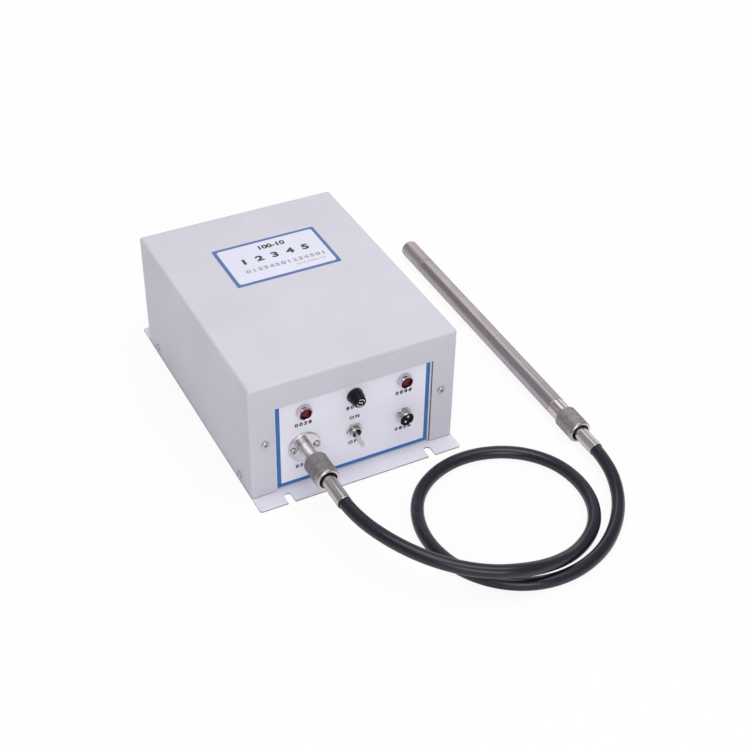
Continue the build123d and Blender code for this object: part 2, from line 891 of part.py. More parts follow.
flange_screw = pan_screw(socket_flange_height - behind_panel + 4, flange_screw_head_radius)
with BuildPart() as output_flange_screws:
    for x, z in flange_screw_points:
        with Locations(
            Plane(origin=(x, overlay_front - socket_flange_height, z), z_dir=outward)
        ):
            add(flange_screw)
output_flange_screws.part.label = "output_flange_screws"

with BuildPart() as output_insulator:
    turn(
        [
            (contact_radius + 0.1, socket_reach - 4),
            (socket_bore_radius - 0.1, socket_reach - 4),
            (socket_bore_radius - 0.1, -socket_spigot_length - 4),
            (contact_radius + 0.1, -socket_spigot_length - 4),
        ],
        output_point,
        outward,
    )
output_insulator.part.label = "output_insulator"

contact_mouth = 6.0            # contact's mouth behind the seat face
contact_depth = 16.0
output_contact_rear = -socket_spigot_length - 10
with BuildPart() as output_contact:
    turn(
        [
            (contact_bore_radius, socket_reach - contact_mouth),
            (contact_radius, socket_reach - contact_mouth),
            (contact_radius, output_contact_rear),
            (0, output_contact_rear),
            (0, socket_reach - contact_mouth - contact_depth),
            (contact_bore_radius, socket_reach - contact_mouth - contact_depth),
        ],
        output_point,
        outward,
    )
output_contact.part.label = "output_contact"
pieces += [output_socket, output_flange_screws, output_insulator, output_contact]


# ==========================================================================================
# Cable plugs: the same chain of pieces at both ends, measured from the seat face
# ==========================================================================================
def cable_plug(end_name, seat, direction, sleeve_reach):
    """Sleeve, insulator, pin, union nut and dust seal of one plug, in that order."""
    insulator_end = sleeve_reach - sleeve_grip
    step = collar_length + 0.3

    with BuildPart() as sleeve:
        turn(
            [
                (sleeve_bore_radius, 0),
                (collar_radius, 0),
                (collar_radius, collar_length),
                (sleeve_radius, collar_length),
                (sleeve_radius, sleeve_reach - 0.5),
                (sleeve_radius - 0.3, sleeve_reach),
                (sleeve_bore_radius, sleeve_reach),
            ],
            seat,
            direction,
        )
    sleeve.part.label = f"{end_name}_plug_sleeve"

    with BuildPart() as insulator:
        turn(
            [
                (pin_radius + 0.1, 0.5),
                (sleeve_bore_radius - 0.1, 0.5),
                (sleeve_bore_radius - 0.1, insulator_end),
                (0, insulator_end),
                (0, insulator_end - 6),
                (pin_radius + 0.1, insulator_end - 6),
            ],
            seat,
            direction,
        )
    insulator.part.label = f"{end_name}_plug_insulator"

    with BuildPart() as pin:
        pin_nose = -contact_mouth - contact_depth + 2
        turn(
            [
                (0, pin_nose),
                (pin_radius - 0.6, pin_nose),
                (pin_radius, pin_nose + 0.8),
                (pin_radius, insulator_end - 6.2),
                (0, insulator_end - 6.2),
            ],
            seat,
            direction,
        )
    pin.part.label = f"{end_name}_plug_pin"

    with BuildPart() as nut:
        turn(
            [
                (nut_bore_radius, -nut_overlap),
                (nut_radius - nut_chamfer, -nut_overlap),
                (nut_radius, -nut_overlap + nut_chamfer),
                (nut_radius, nut_front - nut_chamfer),
                (nut_radius - nut_chamfer, nut_front),
                (nut_mouth_radius, nut_front),
                (nut_mouth_radius, step),
                (nut_bore_radius, step),
            ],
            seat,
            direction,
        )
    nut.part.label = f"{end_name}_union_nut"

    with BuildPart() as seal:
        seal_front = nut_front - seal_recess
        turn(
            [
                (seal_bore_radius, seal_front - seal_length),
                (seal_radius, seal_front - seal_length),
                (seal_radius, seal_front),
                (seal_bore_radius, seal_front),
            ],
            seat,
            direction,
        )
    seal.part.label = f"{end_name}_dust_seal"
    return [sleeve, insulator, pin, nut, seal]


box_seat = Vector(*output_point) + Vector(*outward) * socket_reach
pieces += cable_plug("box", box_seat, outward, box_sleeve_reach)


# ==========================================================================================
# Ignition rod: lies on its union nut and its tip, so its axis falls slightly to the tip
# ==========================================================================================
nut_middle = rod_barrel_length + nut_front - (nut_front + nut_overlap) / 2
rod_total = rod_tube_length + rod_tip_length
rod_fall = (nut_radius - rod_radius) / (nut_middle + rod_total)
rod_rear_z = nut_radius + floor_clearance - rod_fall * nut_middle
rod_rear = Vector(rod_rear_x, rod_rear_y, rod_rear_z)
to_tip = Vector(sin(radians(rod_yaw)), cos(radians(rod_yaw)), -rod_fall).normalized()
to_cable = to_tip * -1
rod_seat = rod_rear + to_cable * rod_barrel_length
pieces += cable_plug("rod", rod_seat, to_cable, rod_sleeve_reach)

tube_bore_radius = rod_radius - rod_wall
spigot_radius = tube_bore_radius - spigot_gap
tip_bore_radius = rod_radius - rod_tip_wall

with BuildPart() as rod_connector:
    turn(
        [
            (socket_bore_radius, -rod_barrel_length),
            (thread_radius - 0.6, -rod_barrel_length),
            (thread_radius, -rod_barrel_length + 0.6),
            (thread_radius, -rod_barrel_length + thread_length),
            (rod_barrel_radius, -rod_barrel_length + thread_length),
            (rod_barrel_radius, 0),
            (spigot_radius, 0),
            (spigot_radius, rod_spigot_length),
            (socket_bore_radius, rod_spigot_length),
        ],
        rod_rear,
        to_tip,
    )
rod_connector.part.label = "rod_connector"

with BuildPart() as rod_tube:
    turn(
        [
            (tube_bore_radius, 0),
            (rod_radius - 0.3, 0),
            (rod_radius, 0.3),
            (rod_radius, rod_tube_length - joint_chamfer),
            (rod_radius - joint_chamfer, rod_tube_length),
            (tube_bore_radius, rod_tube_length),
        ],
        rod_rear,
        to_tip,
    )
rod_tube.part.label = "rod_tube"

with BuildPart() as rod_tip:
    mouth_bore = rod_total - tip_ring_length - tip_recess
    turn(
        [
            (tip_bore_radius, rod_tube_length - tip_spigot_length),
            (spigot_radius, rod_tube_length - tip_spigot_length),
            (spigot_radius, rod_tube_length),
            (rod_radius - joint_chamfer, rod_tube_length),
            (rod_radius, rod_tube_length + joint_chamfer),
            (rod_radius, rod_total - 1.4),
            (rod_radius - 0.4, rod_total - 0.5),
            (rod_radius - 1.3, rod_total),
            (tip_ring_radius, rod_total),
            (tip_ring_radius, mouth_bore),
            (tip_bore_radius, mouth_bore),
        ],
        rod_rear,
        to_tip,
    )
rod_tip.part.label = "rod_tip"

insulator_rear = -rod_barrel_length + 4
with BuildPart() as rod_insulator:
    turn(
        [
            (contact_radius + rod_conductor_gap, insulator_rear),
            (rod_insulator_radius, insulator_rear),
            (rod_insulator_radius, mouth_bore - 0.2),
            (contact_radius + rod_conductor_gap, mouth_bore - 0.2),
        ],
        rod_rear,
        to_tip,
    )
rod_insulator.part.label = "rod_insulator"

with BuildPart() as rod_conductor:
    conductor_rear = -rod_barrel_length + contact_mouth
    turn(
        [
            (contact_bore_radius, conductor_rear),
            (contact_radius, conductor_rear),
            (contact_radius, rod_total - tip_recess),
            (0, rod_total - tip_recess),
            (0, conductor_rear + contact_depth),
            (contact_bore_radius, conductor_rear + contact_depth),
        ],
        rod_rear,
        to_tip,
    )
rod_conductor.part.label = "rod_conductor"

with BuildPart() as rod_tip_ring:
    turn(
        [
            (contact_radius + 0.1, mouth_bore),
            (tip_ring_radius - 0.1, mouth_bore),
            (tip_ring_radius - 0.1, rod_total - tip_recess),
            (contact_radius + 0.1, rod_total - tip_recess),
        ],
        rod_rear,
        to_tip,
    )
rod_tip_ring.part.label = "rod_tip_ring"
pieces += [rod_connector, rod_tube, rod_tip, rod_insulator, rod_conductor, rod_tip_ring]


# ==========================================================================================
# High-tension cable: out of the box's plug, down over its own loop, round and into the rod
# ==========================================================================================
box_cable_start = box_seat + Vector(*outward) * (box_sleeve_reach - sleeve_grip)
rod_cable_end = rod_seat + to_cable * (rod_sleeve_reach - sleeve_grip)
box_lead_out = box_seat + Vector(*outward) * (box_sleeve_reach + 18)
rod_lead_in = rod_seat + to_cable * (rod_sleeve_reach + 20)
cable_route = [
    tuple(box_cable_start),
    tuple(box_lead_out),
    (-35, -295, 43.5),
    (-7.5, -329.5, 38.5),
    (27, -352.5, 33.0),
    (63, -364, 30.0),
    (99.5, -358, 17.5),
    (134.5, -344, cable_radius),
    (163.5, -325, cable_radius),
    (180.5, -297.5, cable_radius),
    (185.5, -265.5, cable_radius),
    (179, -233.5, cable_radius),
    (159.5, -207, cable_radius),
    (130.5, -190, cable_radius),
    (95.5, -184.5, cable_radius),
    (61.5, -193, cable_radius),
    (33, -213.5, cable_radius),
    (15.5, -245, cable_radius),
    (11, -281, cable_radius),
    (20, -317, cable_radius),
    (43, -347, cable_radius),
    (76, -365, cable_radius),
    (114.5, -367.5, cable_radius),
    (153, -355, cable_radius),
    (185.5, -330, cable_radius),
    (210, -297.5, cable_radius),
    tuple(rod_lead_in),
    tuple(rod_cable_end),
]


def corner_radii(points):
    """Largest even arc for each corner of a route: 0.48 of its shorter run over tan(turn / 2)."""
    radii = []
    for before, here, after in zip(points, points[1:], points[2:]):
        run_in = Vector(*here) - Vector(*before)
        run_out = Vector(*after) - Vector(*here)
        half_turn = radians(run_in.get_angle(run_out)) / 2
        radii.append(0.48 * min(run_in.length, run_out.length) / tan(half_turn))
    return radii


cable_radii = corner_radii(cable_route)
with BuildPart() as ignition_cable:
    with BuildLine() as cable_line:
        FilletPolyline(*cable_route, radius=cable_radii)
    with BuildSketch(Plane(origin=cable_route[0], z_dir=outward)):
        Circle(cable_radius)
    sweep(path=cable_line.wires()[0])
ignition_cable.part.label = "ignition_cable"
pieces.append(ignition_cable)

cable_length = cable_line.wires()[0].length
cable_section = pi * cable_radius**2
print("cable length", round(cable_length, 1), "mm; corner radii", [round(r) for r in cable_radii])
print("cable volume / (section x length)", round(ignition_cable.part.volume / (cable_section * cable_length), 5))


# ==========================================================================================
# Inside the box: step-up transformer, storage capacitor, discharge tube and circuit board
# ==========================================================================================
core_bottom = base_sheet
core_top = core_bottom + core_height
window_height = core_height - 2 * core_leg
window_width = (core_width - 2 * core_leg - core_centre_leg) / 2
window_offset = core_centre_leg / 2 + window_width / 2

with BuildPart() as transformer_core:
    with BuildSketch(facing_front(core_y - core_stack / 2)):
        with Locations((core_x, core_bottom + core_height / 2)):
            Rectangle(core_width, core_height)
            with Locations((-window_offset, 0), (window_offset, 0)):
                Rectangle(window_width, window_height, mode=Mode.SUBTRACT)
    extrude(amount=-core_stack)
transformer_core.part.label = "transformer_core"

with BuildPart() as transformer_winding:
    winding_plane = Plane(origin=(core_x, core_y, core_bottom + core_leg + winding_gap))
    with BuildSketch(winding_plane):
        RectangleRounded(
            core_centre_leg + 2 * winding_build,
            core_stack + 2 * winding_build,
            winding_build * 0.6,
        )
        Rectangle(
            core_centre_leg + 2 * winding_gap,
            core_stack + 2 * winding_gap,
            mode=Mode.SUBTRACT,
        )
    extrude(amount=window_height - 2 * winding_gap)
transformer_winding.part.label = "transformer_winding"


def strap(x, y, width, height, band):
    """Sheet strap over a block on the chassis, with a foot on each side."""
    outside = width / 2 + strap_sheet
    with BuildPart() as piece:
        with BuildSketch(facing_front(y - band / 2)):
            with BuildLine():
                Polyline(
                    (x - outside - strap_foot, base_sheet),
                    (x - width / 2, base_sheet),
                    (x - width / 2, base_sheet + height),
                    (x + width / 2, base_sheet + height),
                    (x + width / 2, base_sheet),
                    (x + outside + strap_foot, base_sheet),
                    (x + outside + strap_foot, base_sheet + strap_sheet),
                    (x + outside, base_sheet + strap_sheet),
                    (x + outside, base_sheet + height + strap_sheet),
                    (x - outside, base_sheet + height + strap_sheet),
                    (x - outside, base_sheet + strap_sheet),
                    (x - outside - strap_foot, base_sheet + strap_sheet),
                    close=True,
                )
            make_face()
        extrude(amount=-band)
        for side in (-1, 1):
            foot_x = x + side * (width / 2 + strap_screw_reach)
            with Locations((foot_x, y, base_sheet + strap_sheet)):
                Hole(screw_hole_radius, depth=strap_sheet)
    return piece


transformer_bracket = strap(core_x, core_y, core_width, core_height, bracket_width)
transformer_bracket.part.label = "transformer_bracket"

capacitor_top = base_sheet + capacitor_height
terminal_points = [
    (capacitor_x, capacitor_y + end * (capacitor_length / 2 - terminal_inset)) for end in (-1, 1)
]
with BuildPart() as storage_capacitor:
    with BuildSketch(Plane.XY.offset(base_sheet)):
        with Locations((capacitor_x, capacitor_y)):
            RectangleRounded(capacitor_width, capacitor_length, capacitor_corner)
    extrude(amount=capacitor_height)
    with BuildSketch(Plane.XY.offset(capacitor_top)):
        with Locations(*terminal_points):
            Circle(terminal_radius * 2)
    extrude(amount=terminal_height / 2)
    with BuildSketch(Plane.XY.offset(capacitor_top + terminal_height / 2)):
        with Locations(*terminal_points):
            Circle(terminal_radius)
    extrude(amount=terminal_height / 2)
storage_capacitor.part.label = "storage_capacitor"

capacitor_clamp = strap(
    capacitor_x, capacitor_y, capacitor_width, capacitor_height, clamp_width
)
capacitor_clamp.part.label = "capacitor_clamp"

discharge_rear = discharge_front + discharge_length
discharge_origin = (left_column, discharge_front, lower_row)
inward = (0, 1, 0)
with BuildPart() as discharge_tube:
    turn(
        [
            (0, 0),
            (discharge_cap_radius, 0),
            (discharge_cap_radius, discharge_cap_length),
            (discharge_radius, discharge_cap_length),
            (discharge_radius, discharge_length - discharge_cap_length),
            (discharge_cap_radius, discharge_length - discharge_cap_length),
            (discharge_cap_radius, discharge_length),
            (0, discharge_length),
        ],
        discharge_origin,
        inward,
    )
discharge_tube.part.label = "discharge_tube"

with BuildPart() as tube_clips:
    clip_half = discharge_radius + clip_wall
    clip_height = lower_row - base_sheet
    for clip_y in (discharge_front + clip_inset, discharge_rear - clip_inset - clip_width):
        with BuildSketch(facing_front(clip_y)):
            with Locations((left_column, base_sheet + clip_height / 2)):
                Rectangle(2 * clip_half, clip_height)
            with Locations((left_column, base_sheet + clip_foot_height / 2)):
                Rectangle(2 * (clip_half + clip_foot), clip_foot_height)
            with Locations((left_column, lower_row)):
                Circle(discharge_radius + clip_gap, mode=Mode.SUBTRACT)
        extrude(amount=-clip_width)
tube_clips.part.label = "tube_clips"

with BuildPart() as output_lead:
    lead_start = overlay_front - output_contact_rear
    with BuildSketch(facing_front(lead_start)):
        with Locations((left_column, lower_row)):
            Circle(lead_radius)
    extrude(amount=lead_start - discharge_front)
output_lead.part.label = "output_lead"

board_corners = [
    (side * (board_width / 2 - board_hole_inset), end * (board_length / 2 - board_hole_inset))
    for side in (-1, 1)
    for end in (-1, 1)
]
with BuildPart() as circuit_board:
    with BuildSketch(Plane.XY.offset(board_height)):
        with Locations((board_x, board_y)):
            Rectangle(board_width, board_length)
    extrude(amount=board_sheet)
circuit_board.part.label = "circuit_board"

with BuildPart() as board_standoffs:
    with BuildSketch(Plane.XY.offset(base_sheet)):
        with Locations((board_x, board_y)):
            with Locations(*board_corners):
                RegularPolygon(standoff_radius, 6)
    extrude(amount=board_height - base_sheet)
board_standoffs.part.label = "board_standoffs"

board_top = board_height + board_sheet
board_left = board_x - board_width / 2 + component_margin
board_right = board_x + board_width / 2 - component_margin
board_front = board_y - board_length / 2 + component_margin
board_rear = board_y + board_length / 2 - component_margin
with BuildPart() as board_components:
    with BuildSketch(Plane.XY.offset(board_top)):
        for row in (0, 1):
            with Locations(
                (
                    board_left + rectifier_length / 2,
                    board_front + rectifier_width / 2 + component_margin + row * rectifier_spacing,
                )
            ):
                Rectangle(rectifier_length, rectifier_width)
    extrude(amount=rectifier_height)
    with BuildSketch(Plane.XY.offset(board_top)):
        for row in (0, 1):
            with Locations(
                (board_right - filter_radius - row * filter_spacing, board_rear - filter_radius)
            ):
                Circle(filter_radius)
    extrude(amount=filter_height)
    with BuildSketch(Plane.XY.offset(board_top)):
        with Locations(
            (board_right - choke_length / 2, board_front + choke_width / 2 + component_margin)
        ):
            RectangleRounded(choke_length, choke_width, 2)
    extrude(amount=choke_height)
board_components.part.label = "board_components"

pieces += [
    transformer_core,
    transformer_winding,
    transformer_bracket,
    storage_capacitor,
    capacitor_clamp,
    discharge_tube,
    tube_clips,
    output_lead,
    circuit_board,
    board_standoffs,
    board_components,
]

for piece in pieces:
    export_step(piece.part, f"parts/{piece.part.label}.step")
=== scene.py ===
import json
from math import cos, pi, radians, sin

import bmesh
import bpy
from mathutils import Euler, Matrix, Vector


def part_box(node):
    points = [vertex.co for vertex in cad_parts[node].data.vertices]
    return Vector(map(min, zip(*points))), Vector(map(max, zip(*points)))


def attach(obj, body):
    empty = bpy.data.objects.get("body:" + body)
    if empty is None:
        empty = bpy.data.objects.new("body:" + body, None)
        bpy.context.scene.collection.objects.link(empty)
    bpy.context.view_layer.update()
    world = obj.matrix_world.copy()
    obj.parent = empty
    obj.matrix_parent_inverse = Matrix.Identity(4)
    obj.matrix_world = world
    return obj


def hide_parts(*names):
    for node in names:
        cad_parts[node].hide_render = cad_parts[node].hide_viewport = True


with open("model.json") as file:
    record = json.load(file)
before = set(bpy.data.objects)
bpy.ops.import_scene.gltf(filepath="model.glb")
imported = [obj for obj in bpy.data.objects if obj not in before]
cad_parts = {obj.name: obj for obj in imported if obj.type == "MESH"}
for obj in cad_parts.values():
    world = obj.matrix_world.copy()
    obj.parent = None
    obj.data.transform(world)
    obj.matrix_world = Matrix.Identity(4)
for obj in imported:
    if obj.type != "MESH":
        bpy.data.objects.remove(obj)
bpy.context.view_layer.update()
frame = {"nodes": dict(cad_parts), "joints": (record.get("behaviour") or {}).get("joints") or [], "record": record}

# High-energy ignition set: finishes and fine detail for the ignition box, the high-tension
# cable and the ignition rod. Metres; +X to the right, the control panel faces -Y, +Z up.


# ==========================================================================================
# Places of the fittings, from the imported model
# ==========================================================================================
def corners_of(node):
    """Lowest and highest corner of the box round a CAD node."""
    return [Vector(corner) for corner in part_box(node)]


joints = {joint["name"]: joint for joint in frame["joints"]}
FRONT = Vector(joints["box_nut_turn"]["axis"])                   # the way the panel faces
TO_CABLE = Vector(joints["rod_nut_turn"]["axis"]).normalized()   # from the rod to its cable
BOX_SEAT = Vector(joints["box_nut_turn"]["pos_m"])               # end of the output socket
ROD_SEAT = Vector(joints["rod_nut_turn"]["pos_m"])               # end of the rod's connector

right_bezel_low, right_bezel_high = corners_of("right_lamp_bezel")
MIDDLE_COLUMN, OVERLAY_FRONT, UPPER_ROW = joints["fuse_cap_turn"]["pos_m"]
LEFT_COLUMN = BOX_SEAT.x
RIGHT_COLUMN = (right_bezel_low.x + right_bezel_high.x) / 2
LOWER_ROW = BOX_SEAT.z


# ==========================================================================================
# Camera
# ==========================================================================================
CAMERA_SPOT = Vector((-0.4725, -1.0768, 0.94245))
CAMERA_TURN = Euler((radians(51.699), radians(-0.947), radians(-27.122)))
FOCAL_LENGTH = 67.86           # millimetres, on a 36 mm wide sensor

camera_lens = bpy.data.cameras.new("product_camera")
camera_lens.sensor_width = 36.0
camera_lens.lens = FOCAL_LENGTH
camera_lens.clip_end = 50.0
camera = bpy.data.objects.new("product_camera", camera_lens)
camera.matrix_world = Matrix.LocRotScale(CAMERA_SPOT, CAMERA_TURN, None)
bpy.context.scene.collection.objects.link(camera)
bpy.context.scene.camera = camera
bpy.context.scene.view_settings.view_transform = "Standard"


# ==========================================================================================
# Node helpers
# ==========================================================================================
def linear(red, green, blue):
    """Colour written as 0 to 255 per channel, as the shader's linear values."""
    channels = []
    for value in (red, green, blue):
        value /= 255
        channels.append(value / 12.92 if value <= 0.04045 else ((value + 0.055) / 1.055) ** 2.4)
    return (*channels, 1)


def connect(tree, socket, value):
    """Links a socket to the output that feeds it, or sets its own value."""
    if isinstance(value, bpy.types.NodeSocket):
        tree.links.new(value, socket)
    else:
        socket.default_value = value


def feed(tree, node, **sockets):
    """Links or sets a node's inputs; their names are written with underscores."""
    for name, value in sockets.items():
        connect(tree, node.inputs[name.replace("_", " ")], value)


def add_node(tree, kind, inputs=None, **settings):
    """Adds a shader node; an input is a value or the socket that feeds it."""
    made = tree.nodes.new("ShaderNode" + kind)
    for name, value in settings.items():
        setattr(made, name, value)
    for name, value in (inputs or {}).items():
        connect(tree, made.inputs[name], value)
    return made


def calc(tree, operation, first, second=0.0, clamp=False):
    """Result of one sum; the operation is named as in Blender's Math node."""
    inputs = {0: first, 1: second}
    return add_node(tree, "Math", inputs, operation=operation, use_clamp=clamp).outputs[0]


def ramp(tree, value, low, high, to_low=0.0, to_high=1.0):
    """Value between low and high, spread over to_low to to_high and clamped."""
    inputs = {0: value, 1: low, 2: high, 3: to_low, 4: to_high}
    return add_node(tree, "MapRange", inputs, clamp=True).outputs[0]


def mix_value(tree, factor, first, second):
    """Number between the first and the second."""
    return add_node(tree, "Mix", {0: factor, 2: first, 3: second}).outputs[0]


def mix_colour(tree, factor, first, second):
    """Colour between the first and the second."""
    inputs = {0: factor, 6: first, 7: second}
    return add_node(tree, "Mix", inputs, data_type="RGBA").outputs[2]


def darker(colour, part):
    """Linear colour with that part of its light taken away."""
    return tuple(channel * (1 - part) for channel in colour[:3]) + (1,)


def noise(tree, vector, scale, detail=2.0, roughness=0.5):
    """Soft noise between 0 and 1 at a number of grains per metre."""
    inputs = {"Vector": vector, "Scale": scale, "Detail": detail, "Roughness": roughness}
    return add_node(tree, "TexNoise", inputs).outputs[0]


def stretch(tree, vector, factors):
    """Vector with each part multiplied by its own factor."""
    inputs = {0: vector, 1: factors}
    return add_node(tree, "VectorMath", inputs, operation="MULTIPLY").outputs[0]


def new_group(name, inputs, outputs):
    """Shader node group with (name, type, default) inputs and (name, type) outputs."""
    tree = bpy.data.node_groups.new(name, "ShaderNodeTree")
    for label, kind, default in inputs:
        socket = tree.interface.new_socket(label, in_out="INPUT", socket_type="NodeSocket" + kind)
        if default is not None:
            socket.default_value = default
    for label, kind in outputs:
        tree.interface.new_socket(label, in_out="OUTPUT", socket_type="NodeSocket" + kind)
    return tree, tree.nodes.new("NodeGroupInput").outputs, tree.nodes.new("NodeGroupOutput")


def place(tree, group, inputs):
    """A group inside a material, with this material's own values."""
    made = tree.nodes.new("ShaderNodeGroup")
    made.node_tree = group
    for name, value in inputs.items():
        connect(tree, made.inputs[name], value)
    return made.outputs


# ==========================================================================================
# Effects shared by the finishes
# ==========================================================================================
def make_coat_texture():
    """Fine peel of sprayed or moulded surfaces, slow clouding and stray specks."""
    tree, given, result = new_group(
        "coat_texture",
        [("Vector", "Vector", None), ("Grain", "Float", 900.0), ("Clouds", "Float", 9.0)],
        [("Height", "Float"), ("Cloud", "Float"), ("Speck", "Float")],
    )
    peel = noise(tree, given["Vector"], given["Grain"], 2.0, 0.45)
    cloud = noise(tree, given["Vector"], given["Clouds"], 3.0, 0.55)
    cell = add_node(tree, "TexVoronoi", {"Vector": given["Vector"], "Scale": 130.0})
    fine = noise(tree, given["Vector"], 70.0, 1.0)
    speck = calc(tree, "MULTIPLY", ramp(tree, cell.outputs["Distance"], 0.10, 0.05),
                 ramp(tree, fine, 0.66, 0.70))
    feed(tree, result, Height=peel, Cloud=ramp(tree, cloud, 0.3, 0.7), Speck=speck)
    return tree


def make_lathe_marks():
    """Fine rings left by turning about the vector's local Y axis, with tone changes."""
    tree, given, result = new_group(
        "lathe_marks",
        [("Vector", "Vector", None), ("Pitch", "Float", 2600.0)],
        [("Height", "Float"), ("Tone", "Float")],
    )
    parts = add_node(tree, "SeparateXYZ", {0: given["Vector"]}).outputs
    across = add_node(tree, "CombineXYZ", {0: parts[0], 2: parts[2]}).outputs[0]
    radius = add_node(tree, "VectorMath", {0: across}, operation="LENGTH").outputs["Value"]
    place_on_turn = add_node(tree, "CombineXYZ", {0: radius, 1: parts[1]}).outputs[0]
    ring = noise(tree, place_on_turn, given["Pitch"], 3.0, 0.6)
    slow = noise(tree, place_on_turn, calc(tree, "MULTIPLY", given["Pitch"], 0.12), 2.0)
    tone = ramp(tree, calc(tree, "ADD", ring, slow), 0.8, 1.2)
    feed(tree, result, Height=ring, Tone=tone)
    return tree


def make_drawn_lines():
    """Long streaks of drawn tube along the vector's local Y axis."""
    tree, given, result = new_group(
        "drawn_lines",
        [("Vector", "Vector", None), ("Density", "Float", 1500.0)],
        [("Height", "Float"), ("Tone", "Float")],
    )
    drawn = stretch(tree, given["Vector"], (1.0, 0.012, 1.0))
    line = noise(tree, drawn, given["Density"], 3.0, 0.65)
    band = noise(tree, drawn, calc(tree, "MULTIPLY", given["Density"], 0.2), 2.0)
    tone = ramp(tree, calc(tree, "ADD", line, band), 0.8, 1.2)
    feed(tree, result, Height=line, Tone=tone)
    return tree


def make_edge_wear():
    """Mask of rubbed outer edges, broken up so that it isn't an even line."""
    tree, given, result = new_group(
        "edge_wear",
        [("Vector", "Vector", None), ("Radius", "Float", 0.0006), ("Break", "Float", 500.0)],
        [("Mask", "Float")],
    )
    soft = add_node(tree, "Bevel", {"Radius": given["Radius"]}, samples=4).outputs[0]
    true = add_node(tree, "NewGeometry").outputs["Normal"]
    turned = add_node(tree, "VectorMath", {0: soft, 1: true}, operation="DOT_PRODUCT")
    edge = ramp(tree, turned.outputs["Value"], 0.995, 0.86)
    broken = ramp(tree, noise(tree, given["Vector"], given["Break"], 3.0), 0.40, 0.66)
    feed(tree, result, Mask=calc(tree, "MULTIPLY", edge, broken))
    return tree


def make_painted_corner_shade():
    """Painted shade: mask that darkens corners and recesses from ambient occlusion, in patches."""
    tree, given, result = new_group(
        "painted_corner_shade",
        [("Vector", "Vector", None), ("Reach", "Float", 0.002)],
        [("Mask", "Float")],
    )
    shut_in = add_node(tree, "AmbientOcclusion", {"Distance": given["Reach"]}, samples=6)
    deep = ramp(tree, shut_in.outputs["AO"], 0.85, 0.30)
    patchy = ramp(tree, noise(tree, given["Vector"], 300.0, 2.0), 0.30, 0.70, 0.45, 1.0)
    feed(tree, result, Mask=calc(tree, "MULTIPLY", deep, patchy))
    return tree


def make_scratches():
    """Hairline scratches in two directions, few and short."""
    tree, given, result = new_group(
        "scratches",
        [("Vector", "Vector", None), ("Scale", "Float", 120.0)],
        [("Mask", "Float")],
    )
    lines = []
    for turn in (0.5, 2.1):
        turned = add_node(tree, "VectorRotate", {"Vector": given["Vector"], "Angle": turn},
                          rotation_type="Y_AXIS").outputs[0]
        long_cells = stretch(tree, turned, (1.0, 0.9, 0.05))
        wave = noise(tree, long_cells, given["Scale"], 1.0, 0.3)
        middle = calc(tree, "ABSOLUTE", calc(tree, "SUBTRACT", wave, 0.5))
        lines.append(ramp(tree, middle, 0.0022, 0.0006))
    few = ramp(tree, noise(tree, given["Vector"], 45.0, 1.0), 0.60, 0.68)
    both = calc(tree, "MAXIMUM", lines[0], lines[1])
    feed(tree, result, Mask=calc(tree, "MULTIPLY", both, few))
    return tree


def make_layers():
    """Stacked sheets or wound turns: bands along the vector's local Z."""
    tree, given, result = new_group(
        "layers",
        [("Vector", "Vector", None), ("Count", "Float", 1000.0)],
        [("Height", "Float"), ("Tone", "Float")],
    )
    level = add_node(tree, "SeparateXYZ", {0: given["Vector"]}).outputs[2]
    steps = calc(tree, "MULTIPLY", level, given["Count"])
    part = calc(tree, "PINGPONG", steps, 0.5)
    number = calc(tree, "FLOOR", steps)
    tone = add_node(tree, "TexWhiteNoise", {"W": number}, noise_dimensions="1D").outputs[0]
    feed(tree, result, Height=ramp(tree, part, 0.0, 0.2), Tone=tone)
    return tree


def make_frame_print():
    """Printed border: a band inside a rounded rectangle that is centred on the vector."""
    tree, given, result = new_group(
        "frame_print",
        [
            ("Vector", "Vector", None),
            ("Half Width", "Float", 0.05),
            ("Half Height", "Float", 0.03),
            ("Band", "Float", 0.003),
            ("Corner", "Float", 0.002),
        ],
        [("Border", "Float")],
    )
    parts = add_node(tree, "SeparateXYZ", {0: given["Vector"]}).outputs

    def depth_inside(inset, corner):
        """Distance into the rectangle whose sides lie that far inside the outer ones."""
        outside = []
        for axis, half in ((0, "Half Width"), (1, "Half Height")):
            reach = calc(tree, "SUBTRACT", calc(tree, "SUBTRACT", given[half], inset), corner)
            outside.append(calc(tree, "SUBTRACT", calc(tree, "ABSOLUTE", parts[axis]), reach))
        over = [calc(tree, "MAXIMUM", side, 0.0) for side in outside]
        squares = [calc(tree, "MULTIPLY", side, side) for side in over]
        away = calc(tree, "SQRT", calc(tree, "ADD", squares[0], squares[1]))
        within = calc(tree, "MINIMUM", calc(tree, "MAXIMUM", outside[0], outside[1]), 0.0)
        return calc(tree, "SUBTRACT", corner, calc(tree, "ADD", away, within))

    outer = ramp(tree, depth_inside(0.0, 0.0002), -0.00006, 0.00006)
    field = ramp(tree, depth_inside(given["Band"], given["Corner"]), -0.00006, 0.00006)
    border = calc(tree, "SUBTRACT", outer, field, clamp=True)
    feed(tree, result, Border=border)
    return tree


coat_texture = make_coat_texture()
lathe_marks = make_lathe_marks()
drawn_lines = make_drawn_lines()
edge_wear = make_edge_wear()
painted_corner_shade = make_painted_corner_shade()
scratches = make_scratches()
layers = make_layers()
frame_print = make_frame_print()


# ==========================================================================================
# Finishes
# ==========================================================================================
def new_finish(name):
    """Empty material with its shader and the object's own coordinates."""
    made = bpy.data.materials.new(name)
    made.use_nodes = True
    tree = made.node_tree
    tree.nodes.clear()
    shader = tree.nodes.new("ShaderNodeBsdfPrincipled")
    output = tree.nodes.new("ShaderNodeOutputMaterial")
    tree.links.new(shader.outputs[0], output.inputs["Surface"])
    here = add_node(tree, "TexCoord").outputs["Object"]
    return made, tree, shader, here


def bump(tree, height, depth):
    """Normal of a surface whose relief is that many metres deep."""
    return add_node(tree, "Bump", {"Height": height, "Distance": depth}).outputs[0]


